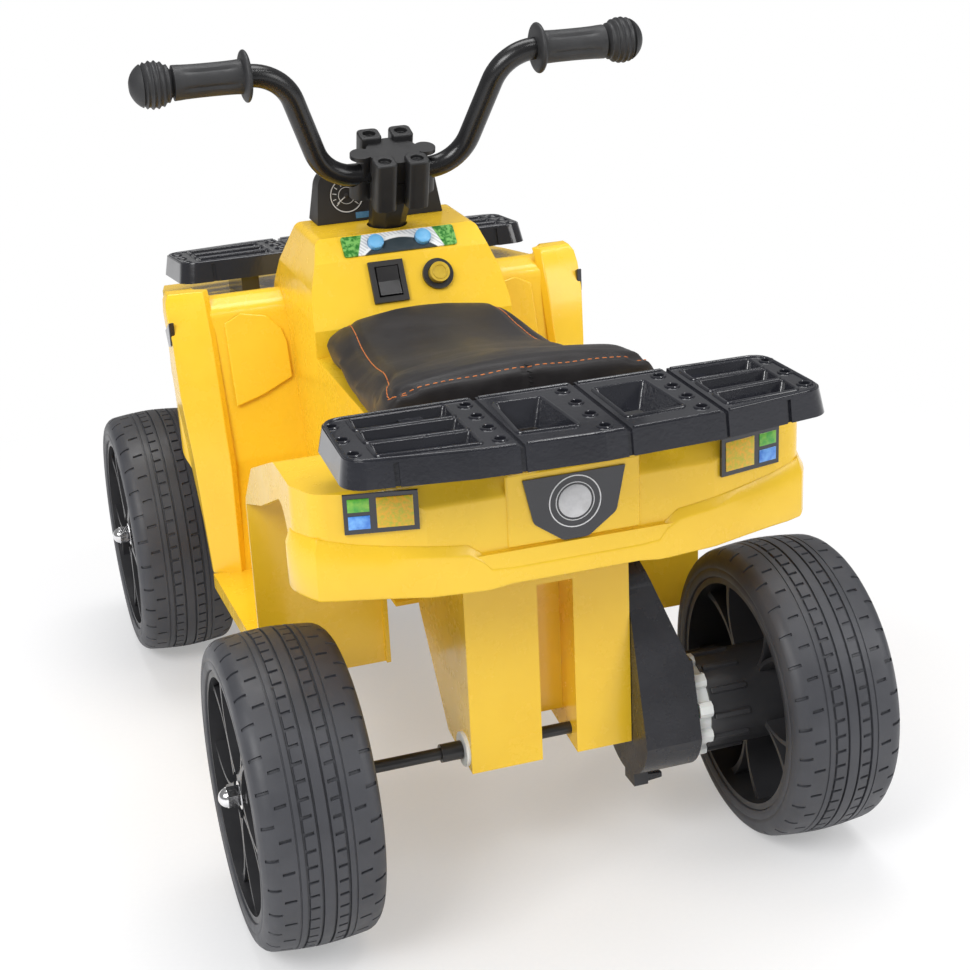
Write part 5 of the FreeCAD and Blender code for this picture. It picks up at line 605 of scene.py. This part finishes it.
crinkle = add(tree, "ShaderNodeTexNoise",
              {"Vector": spot, "Scale": 60.0, "Detail": 6.0, "Roughness": 0.6}).outputs["Fac"]
tree.links.new(mixed(tree, spread(tree, crinkle, 0.35, 0.7), (0.015, 0.0132, 0.0138, 1), (0.023, 0.0205, 0.0212, 1)),
               shader.inputs["Base Color"])
tree.links.new(spread(tree, crinkle, 0.3, 0.7, 0.42, 0.56), shader.inputs["Roughness"])
fine = add(tree, "ShaderNodeBump", {"Height": pebble, "Strength": 0.2, "Distance": 0.0003}).outputs["Normal"]
tree.links.new(add(tree, "ShaderNodeBump", {"Height": crinkle, "Strength": 0.1, "Distance": 0.002,
                                            "Normal": fine}).outputs["Normal"], shader.inputs["Normal"])
shader.inputs["Sheen Weight"].default_value = 0.05
shader.inputs["Specular IOR Level"].default_value = 0.28
seat.data.materials.append(leatherette)
seat.data.shade_smooth()
fitted(seat, "frame")
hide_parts("seat_cushion")
thread_orange = moulded("thread orange", (0.66, 0.2, 0.04), (0.5, 0.13, 0.025), 0.6, 0.8, drift=300.0, peel=2500.0)
thread_black = moulded("thread black", (0.008, 0.008, 0.009), (0.014, 0.014, 0.015), 0.6, 0.8,
                       drift=300.0, peel=2500.0)
side_seams = [traced(seat, line, down, 0.0052) for line in (side_line, left_line)]
fitted(stitched("side_stitches", side_seams, thread_orange, length=0.0058, sink=0.0001, radius=0.00036),
       "frame")
back_seam = [traced(seat, back_line, inward, 0.005)]
fitted(stitched("back_stitches", back_seam, thread_orange, length=0.0036, sink=0.0002, radius=0.0004),
       "frame")
boxing_seam = [traced(seat, boxing_line, forward, 0.003)]
fitted(stitched("boxing_stitches", boxing_seam, thread_black, length=0.0022, sink=0.0001, radius=0.0006, slant=0.003),
       "frame")
dress(case_black, "seat_pan")


# Racks: two trays in glossy black plastic with sloped wells, slots and drain holes, on feet over the nose and tail.
# Round beads stiffen their rims and the mouths of the wells, and a lip stands round each hole.
# The fender inserts are the same plastic.
rack_black = moulded("rack black", (0.013, 0.0137, 0.0182), (0.021, 0.022, 0.0285), 0.12, 0.24,
                     drift=20.0, peel=380.0, relief=0.14, Coat_Weight=0.5, Coat_Roughness=0.07)
dress(rack_black, "front_rack", "rear_rack")
rack_half, rack_depth, rack_bulge = 146, 80, 16
bead_radius, bead_sink = 1.4, 0.2


def rack_spot(across, deep):
    """A place on a rack's top from its shares of the half width and of the depth."""
    return Vector((rack_half * across, (rack_depth + rack_bulge * (1 - abs(across))) * (1 - deep)))


def bead(corners, bend, closed=True):
    """Rings of a round bead along a line with its corners rounded."""
    line = []
    for i, corner in enumerate(corners):
        if not closed and i in (0, len(corners) - 1):
            line.append(corner)
            continue
        start, end = (corner + (other - corner).normalized() * bend
                      for other in (corners[i - 1], corners[(i + 1) % len(corners)]))
        line += [start.lerp(corner, t).lerp(corner.lerp(end, t), t) for t in (0, 0.2, 0.4, 0.6, 0.8, 1)]
    rings = []
    for i, here in enumerate(line):
        last = 0 if not closed and i == 0 else i - 1
        after = (i + 1) % len(line) if closed else min(i + 1, len(line) - 1)
        along = (line[after] - line[last]).normalized()
        aside = Vector((along.y, -along.x))
        rings.append([(*(here + aside * bead_radius * math.cos(turn)), bead_radius * math.sin(turn) - bead_sink)
                      for turn in (math.pi * k / 6 for k in range(12))])
    return rings


# The bead behind the rack's curved edge: place across, and distance from the straight edge.
end_rim, end_depth, bend_rim, bend_depth = 141.5, 75.5, 73, 87.4
rim_turns = [(-end_rim, end_depth), (-bend_rim, bend_depth), (0, 91.4), (bend_rim, bend_depth), (end_rim, end_depth)]


def rim_line(x):
    """A place on the bead behind the curved edge."""
    for (left, first), (right, second) in zip(rim_turns, rim_turns[1:]):
        if left <= x <= right:
            return Vector((x, first + (second - first) * (x - left) / (right - left)))


# Wells and slots by their shares of the half width and of the depth, each with a bead a little outside its mouth.
slot_rows = ((0.12, 0.33), (0.39, 0.6), (0.66, 0.87))
well_shares = [[(-0.29, 0.22), (-0.06, 0.22), (-0.08, 0.78), (-0.27, 0.78)],
               [(0.15, 0.22), (0.39, 0.22), (0.37, 0.78), (0.15, 0.78)]]
well_shares += [[(left, low), (right, low), (right, high), (left, high)]
                for left, right in ((-0.85, -0.46), (0.56, 0.87)) for low, high in slot_rows]
mouth_room, mouth_bend, rim_bend = 0.9, 3.2, 12
mouths = []
for shares in well_shares:
    corners = [rack_spot(*spot) for spot in shares]
    middle = sum(corners, Vector((0, 0))) / len(corners)
    mouths.append([corner + Vector([math.copysign(mouth_room, away) for away in corner - middle])
                   for corner in corners])
# Beads between the grooves, along both edges and round both ends.
near_rim, near_end, groove_gap = 4.5, 138.4, 3.2
grooves = [-47.4, 14.6, 74.5]
first_groove, last_groove = grooves[0] - groove_gap, grooves[-1] + groove_gap
spans = [(start + groove_gap, end - groove_gap) for start, end in zip(grooves, grooves[1:])]
rims = [[rim_line(x) for x in (spans[0][0], 0, spans[0][1])], [rim_line(x) for x in spans[1]]]
rims += [[Vector((start, near_rim)), Vector((end, near_rim))] for start, end in spans]
rims.append([Vector((first_groove, near_rim)), Vector((-near_end, near_rim)), rim_line(-end_rim), rim_line(-bend_rim),
             rim_line(first_groove)])
rims.append([Vector((last_groove, near_rim)), Vector((near_end, near_rim)), rim_line(end_rim), rim_line(last_groove)])
hole_places = [rack_spot(across, deep) for across in (-0.38, 0.03, 0.45) for deep in (0.15, 0.38, 0.61, 0.84)]
hole_places += [rack_spot(across, deep) for across in (-0.93, 0.93) for deep in (0.2, 0.5, 0.8)]
hole_lip = [(3.25, -0.5), (3.3, 0.5), (3.7, 0.9), (4.3, 0.9), (4.8, 0.4), (4.9, -0.5)]
front_slope = math.atan2(14, 128)
rack_places = {"rear": (Matrix.Translation((0, -0.252, 0.346)), -1),
               "front": (Matrix.Translation((0, 0.184, 0.3325)) @ Matrix.Rotation(-front_slope, 4, "X"), 1)}


def facing(solids, ahead):
    """Solids turned for one rack, so that its curved edge is at the end of the bike."""
    return [[[(x, y * ahead, z) for x, y, z in ring] for ring in rings] for rings in solids]


for end, (place, ahead) in rack_places.items():
    mouth_beads = facing([bead(mouth, mouth_bend) for mouth in mouths], ahead)
    fitted(lofted(f"{end}_rack_mouths", mouth_beads, rack_black, place, closed=True), "frame")
    rim_beads = facing([bead(rim, rim_bend, False) for rim in rims], ahead)
    fitted(lofted(f"{end}_rack_rims", rim_beads, rack_black, place), "frame", edge=0.0004)
    lips = facing([turned_rings(hole_lip, x, y, 24) for x, y in hole_places], ahead)
    fitted(lofted(f"{end}_rack_lips", lips, rack_black, place, closed=True), "frame")
insert = [[(x, 119.5, 307), (x, 119.5, 289), (x, 131, 285), (x, 141, 296)] for x in (162, 166.2)]
fitted(lofted("fender_inserts", [insert, mirrored(insert)], rack_black), "frame", edge=0.0008)


# Dash: a two-way rocker in a matte frame, a round tinted push button in a black bezel, a printed strip with two
# light blue sound buttons, a speaker behind, and an upright instrument panel with two dials and a small display.
# The print on the strip is a plain pattern of bands, an arch and leafy ends.
frame_black = moulded("frame black", (0.02, 0.019, 0.019), (0.028, 0.026, 0.026), 0.5, 0.64,
                      peel=1400.0, depth=0.0002)
rocker_black = moulded("rocker black", (0.02, 0.019, 0.02), (0.028, 0.027, 0.028), 0.3, 0.42,
                       peel=1400.0, depth=0.0002)
button_amber = moulded("button amber", (0.66, 0.46, 0.05), (0.52, 0.34, 0.02), 0.14, 0.26, drift=90.0,
                       Coat_Weight=0.4)
button_blue = moulded("button blue", (0.19, 0.52, 0.84), (0.14, 0.44, 0.78), 0.22, 0.34, drift=90.0)
print_white = moulded("print white", (0.8, 0.8, 0.8), (0.7, 0.7, 0.71), 0.35, 0.5, drift=200.0, peel=1500.0)
dress(frame_black, "rocker_housing", "speaker", "instrument_panel")
dress(rocker_black, "rocker", "button_bezel")
dress(button_amber, "power_button")
dress(button_blue, "sound_button_left", "sound_button_right")
rounded(0.0008, nodes["rocker_housing"], nodes["button_bezel"], nodes["instrument_panel"])
rounded(0.0006, nodes["rocker"], nodes["power_button"])
low_face = Matrix.Translation((0, 0.028, 0.312)) @ Matrix.Rotation(math.radians(60.83), 4, "X")
high_face = Matrix.Translation((0, 0.052, 0.355)) @ Matrix.Rotation(math.radians(46.97), 4, "X")
ring = turned_rings([(4.6, 7.9), (4.8, 8.5), (5.4, 8.5), (5.6, 7.9)], 23.5, 31)
fitted(lofted("button_ring", [ring], button_amber, low_face, closed=True), "power_button_body")
for side, across in (("left", -18), ("right", 18)):
    dome = turned_rings([(5.4, 4.9), (5.3, 5.3), (4.4, 5.7), (2.6, 5.95), (0.6, 6.05)], across, 11)
    fitted(lofted(f"sound_dome_{side}", [dome], button_blue, high_face), f"sound_{side}_body")

# The strip's pattern runs across the bike and up the slope of its plate.
strip_print, tree, shader = surface("strip print")
spot = add(tree, "ShaderNodeTexCoord").outputs["Object"]
across = add(tree, "ShaderNodeSeparateXYZ", {0: spot}).outputs["X"]
up_plate, plate_foot, plate_top = (0, 0.6824, 0.731), 0.2974, 0.314
slope = add(tree, "ShaderNodeVectorMath", {0: spot, 1: up_plate}, operation="DOT_PRODUCT").outputs["Value"]
slope = spread(tree, slope, plate_foot, plate_top)
outward = add(tree, "ShaderNodeMath", {0: across}, operation="ABSOLUTE").outputs[0]


def worked(tree, operation, first, second):
    return add(tree, "ShaderNodeMath", {0: first, 1: second}, operation=operation).outputs[0]


slant = worked(tree, "ADD", worked(tree, "MULTIPLY", across, 60.0), slope)
bands = add(tree, "ShaderNodeTexWave", {"Vector": add(tree, "ShaderNodeCombineXYZ", {0: slant}).outputs[0],
                                        "Scale": 1.6, "Distortion": 0.6}).outputs["Fac"]
leaf = add(tree, "ShaderNodeTexNoise", {"Vector": spot, "Scale": 340.0, "Detail": 4.0}).outputs["Fac"]
arch_top, arch_curve, flank_lean = 0.82, 30.0, 0.006
fall = worked(tree, "POWER", worked(tree, "MULTIPLY", outward, arch_curve), 2.0)
arch = worked(tree, "SUBTRACT", slope, worked(tree, "SUBTRACT", arch_top, fall))
flank = worked(tree, "ADD", outward, worked(tree, "MULTIPLY", slope, flank_lean))
ground = mixed(tree, spread(tree, bands, 0.4, 0.6), (0.62, 0.64, 0.66, 1), (0.85, 0.86, 0.86, 1))
green = mixed(tree, spread(tree, leaf, 0.42, 0.58), (0.03, 0.2, 0.03, 1), (0.2, 0.5, 0.12, 1))
lane = mixed(tree, spread(tree, arch, -0.16, -0.12), (0.035, 0.05, 0.06, 1), (0.85, 0.86, 0.86, 1))
ground = mixed(tree, spread(tree, arch, 0.0, 0.03), lane, ground)
ground = mixed(tree, spread(tree, flank, 0.0325, 0.0332), ground, green)
tree.links.new(ground, shader.inputs["Base Color"])
tree.links.new(spread(tree, leaf, 0.3, 0.7, 0.14, 0.26), shader.inputs["Roughness"])
dress(strip_print, "sound_panel")

# Dials: two white rings, ticks and a needle in each round well, and the display below them.
panel_face = Matrix.Translation((0, 0.107, 0.37)) @ Matrix.Rotation(math.radians(80.07), 4, "X")
dial_y, dial_floor, tick_top, needle_top = 20, -1.7, -1.15, -0.6
hoops, marks = [], []
for across, needle in ((-24, 215), (24, 150)):
    for outer, inner in ((12.7, 11.9), (6.4, 6.0)):
        hoop = [(inner, dial_floor), (inner, -1.1), (outer, -1.1), (outer, dial_floor)]
        hoops.append(turned_rings(hoop, across, dial_y))
    for i in range(11):
        marks.append((across, -40 + 26 * i, 8.6 if i % 2 else 7.8, 11.0, 0.35, tick_top))
    marks.append((across, needle, -1.5, 9.2, 0.4, needle_top))
bars = []
for across, degrees, start, end, half, top in marks:
    turn = math.radians(degrees)
    along, aside = Vector((math.cos(turn), math.sin(turn), 0)), Vector((-math.sin(turn), math.cos(turn), 0))
    outline = [along * start - aside * half, along * end - aside * half * 0.6,
               along * end + aside * half * 0.6, along * start + aside * half]
    bars.append([[Vector((across, dial_y, z)) + corner for corner in outline] for z in (dial_floor, top)])
fitted(lofted("dial_rings", hoops, print_white, panel_face, closed=True), "frame")
fitted(lofted("dial_marks", bars, print_white, panel_face), "frame")
hub = [(1.9, dial_floor), (1.8, -0.3), (1.2, 0.1), (0.3, 0.2)]
hubs = [turned_rings(hub, across, dial_y, 24) for across in (-24, 24)]
fitted(lofted("dial_hubs", hubs, frame_black, panel_face), "frame")
display_blue = moulded("display blue", (0.12, 0.3, 0.52), (0.07, 0.2, 0.4), 0.08, 0.16, drift=300.0, Coat_Weight=0.5)
display = [[(left, low, z), (right, low, z), (right, high, z), (left, high, z)]
           for left, right, low, high, z in ((-19, -6, 2, 7, -0.5), (-18.7, -6.3, 2.3, 6.7, 0.5))]
fitted(lofted("display_pane", [display], display_blue, panel_face), "frame")


# Tail: two light plates on the slanted corners of the apron, each with an amber, a green and a blue pane, and a
# black shield between them that carries a plain disc in two thin rings.
dress(rack_black, "rear_light_plates", "rear_badge")
rounded(0.0008, nodes["rear_light_plates"], nodes["rear_badge"])
pane_amber = moulded("pane amber", (0.85, 0.42, 0.015), (0.42, 0.46, 0.015), 0.12, 0.22, drift=420.0, Coat_Weight=0.2)
pane_green = moulded("pane green", (0.02, 0.33, 0.03), (0.26, 0.55, 0.05), 0.12, 0.22, drift=160.0, Coat_Weight=0.4)
pane_blue = moulded("pane blue", (0.03, 0.18, 0.68), (0.2, 0.5, 0.95), 0.12, 0.22, drift=160.0, Coat_Weight=0.4)
plate_face = Matrix.Translation((0.09, -0.292, 0)) @ Matrix.Rotation(math.atan2(13, 62), 4, "Z")


def pane(start, end, low, high):
    """Rings of a raised pane on the right light plate."""
    return [[plate_face @ (Vector(p) / 1000) * 1000 for p in (
        (start + inset, y, low + inset), (end - inset, y, low + inset), (end - inset, y, high - inset),
        (start + inset, y, high - inset))] for inset, y in ((0, -2.1), (0, -2.7), (0.6, -3.0))]


for name, material, slot, bounds in (
        ("amber_panes", pane_amber, "button_amber", (7, 28, 289, 307.5)),
        ("green_panes", pane_green, "clear_lens", (32, 44.5, 299.5, 307.5)),
        ("blue_panes", pane_blue, "button_blue", (32, 44.5, 289, 297))):
    one = pane(*bounds)
    fitted(lofted(name, [one, mirrored(one)], material), "frame")
badge_face = Matrix.Translation((0, -0.2943, 0.2875)) @ Matrix.Rotation(math.radians(90), 4, "X")
badge_grey = moulded("badge grey", (0.66, 0.66, 0.67), (0.5, 0.5, 0.51), 0.25, 0.4, drift=120.0, peel=900.0)
hoops = [turned_rings([(inner, -0.3), (inner + 0.1, 0.5), (outer - 0.1, 0.5), (outer, -0.3)])
         for inner, outer in ((15.6, 16.4), (11.6, 12.2))]
fitted(lofted("badge_rings", hoops, print_white, badge_face, closed=True), "frame")
disc = turned_rings([(10.4, -0.3), (10.3, 0.4), (9.6, 0.8), (6.0, 1.1), (0.5, 1.25)])
fitted(lofted("badge_disc", [disc], badge_grey, badge_face), "frame")


# Nose: two headlights with clear lenses over black bezels, and a slotted bumper plate on two posts.
# The lenses are smooth and nearly white, and the bumper is the gear case's plastic.
lens_clear = moulded("lens clear", (0.86, 0.88, 0.9), (0.8, 0.82, 0.85), 0.06, 0.14, drift=60.0, peel=300.0)
dress(rack_black, "headlight_bezels")
dress(lens_clear, "headlight_lenses")
dress(case_black, "front_bumper")
rounded(0.0008, nodes["headlight_bezels"], nodes["headlight_lenses"])
rounded(0.0015, nodes["front_bumper"])


# Foot pedal with ribs across its tread, its switch, the battery and the charging socket, in black and grey plastic.
# The ribs lie on the pedal's own slope and move with it.
battery_grey = moulded("battery grey", (0.1, 0.11, 0.13), (0.13, 0.14, 0.16), 0.45, 0.6, peel=900.0)
dress(frame_black, "foot_pedal", "pedal_switch", "charge_socket")
dress(battery_grey, "battery")
rounded(0.001, nodes["foot_pedal"])
pedal_face = Matrix.Translation((0.116, -0.018, 0.135)) @ Matrix.Rotation(math.atan2(13, 78), 4, "X")
# Each rib's foot and top: half length, start, end and height.
rib_levels = [(19, 0, 3.4, -0.4), (18.4, 0.8, 2.6, 1.4)]
ribs = [[[(-half, y + start, z), (half, y + start, z), (half, y + end, z), (-half, y + end, z)]
         for half, start, end, z in rib_levels] for y in range(10, 72, 9)]
fitted(lofted("pedal_ribs", ribs, frame_black, pedal_face), "pedal_body", edge=0.0003)


# Studio: a pale seamless floor, a white surround, three big soft lamps and a narrow one for the edges.
# The camera is where the photographer stood. The floor glows where it is seen, less so near the part.
floor_mesh = bpy.data.meshes.new("studio_floor")
floor_half = 14
floor_mesh.from_pydata([(x * floor_half, y * floor_half, 0) for x, y in ((-1, -1), (1, -1), (1, 1), (-1, 1))],
                       [], [(0, 1, 2, 3)])
floor = linked("studio_floor", floor_mesh)
paper, tree, shader = surface("studio paper")
tree.nodes.remove(shader)
spot = add(tree, "ShaderNodeTexCoord").outputs["Object"]
fibre = add(tree, "ShaderNodeTexNoise", {"Vector": spot, "Scale": 300.0, "Detail": 3.0}).outputs["Fac"]
pulp = mixed(tree, fibre, (0.86, 0.86, 0.875, 1), (0.9, 0.9, 0.91, 1))
matte = add(tree, "ShaderNodeBsdfDiffuse", {"Color": pulp}).outputs[0]
glow = add(tree, "ShaderNodeEmission", {"Color": (1, 1, 1, 1), "Strength": 1.0}).outputs[0]
rays = add(tree, "ShaderNodeLightPath").outputs
gloss_share = 0.3
seen = worked(tree, "MAXIMUM", rays["Is Camera Ray"], worked(tree, "MULTIPLY", rays["Is Glossy Ray"], gloss_share))
seen = worked(tree, "MAXIMUM", seen, rays["Is Transmission Ray"])
away = add(tree, "ShaderNodeVectorMath", {0: spot}, operation="LENGTH").outputs["Value"]
part = worked(tree, "MULTIPLY", seen, spread(tree, away, 0.3, 0.85, 0.34, 1.0))
both = add(tree, "ShaderNodeMixShader", {0: part, 1: matte, 2: glow}).outputs[0]
tree.links.new(both, tree.nodes["Material Output"].inputs["Surface"])
floor_mesh.materials.append(paper)

world = bpy.data.worlds.new("studio surround")
bpy.context.scene.world = world
world.use_nodes = True
tree = world.node_tree
rays = add(tree, "ShaderNodeLightPath").outputs
shine = spread(tree, rays["Is Glossy Ray"], 0.0, 1.0, 0.5, 0.24)
tree.links.new(worked(tree, "MAXIMUM", rays["Is Camera Ray"], shine), tree.nodes["Background"].inputs["Strength"])
tree.nodes["Background"].inputs["Color"].default_value = (1, 1, 1, 1)


def soft_lamp(name, at, aim, size, power):
    lamp = bpy.data.lights.new(name, "AREA")
    lamp.shape = "RECTANGLE"
    lamp.size, lamp.size_y = size
    lamp.energy = power
    piece = linked(name, lamp)
    piece.location = at
    piece.rotation_euler = (Vector(aim) - Vector(at)).to_track_quat("-Z", "Y").to_euler()


soft_lamp("key lamp", (-1.5, -1.3, 1.8), (0, 0, 0.2), (1.2, 0.9), 34)
soft_lamp("fill lamp", (1.6, -1.4, 1.3), (0, 0, 0.2), (1.0, 1.0), 12)
soft_lamp("edge lamp", (0.7, -0.95, 2.2), (0, -0.2, 0.3), (1.5, 0.12), 7)
soft_lamp("top lamp", (0.2, 0.5, 2.3), (0, 0, 0.2), (1.6, 1.0), 24)

eye = Vector((-0.357267, -1.249085, 0.701007))
yaw, pitch, roll = (math.radians(a) for a in (17.588, -21.494, -2.755))
ahead = Vector((math.sin(yaw) * math.cos(pitch), math.cos(yaw) * math.cos(pitch), math.sin(pitch)))
level = Vector((math.cos(yaw), -math.sin(yaw), 0))
upright = level.cross(ahead)
right = math.cos(roll) * level + math.sin(roll) * upright
up = math.cos(roll) * upright - math.sin(roll) * level
camera = bpy.data.cameras.new("photo camera")
camera.sensor_width = 36
camera.lens = 69.875
stand = Matrix([*zip(right, up, -ahead, eye), (0, 0, 0, 1)])
bpy.context.scene.camera = linked("photo camera", camera, stand)
bpy.context.scene.view_settings.view_transform = "Standard"
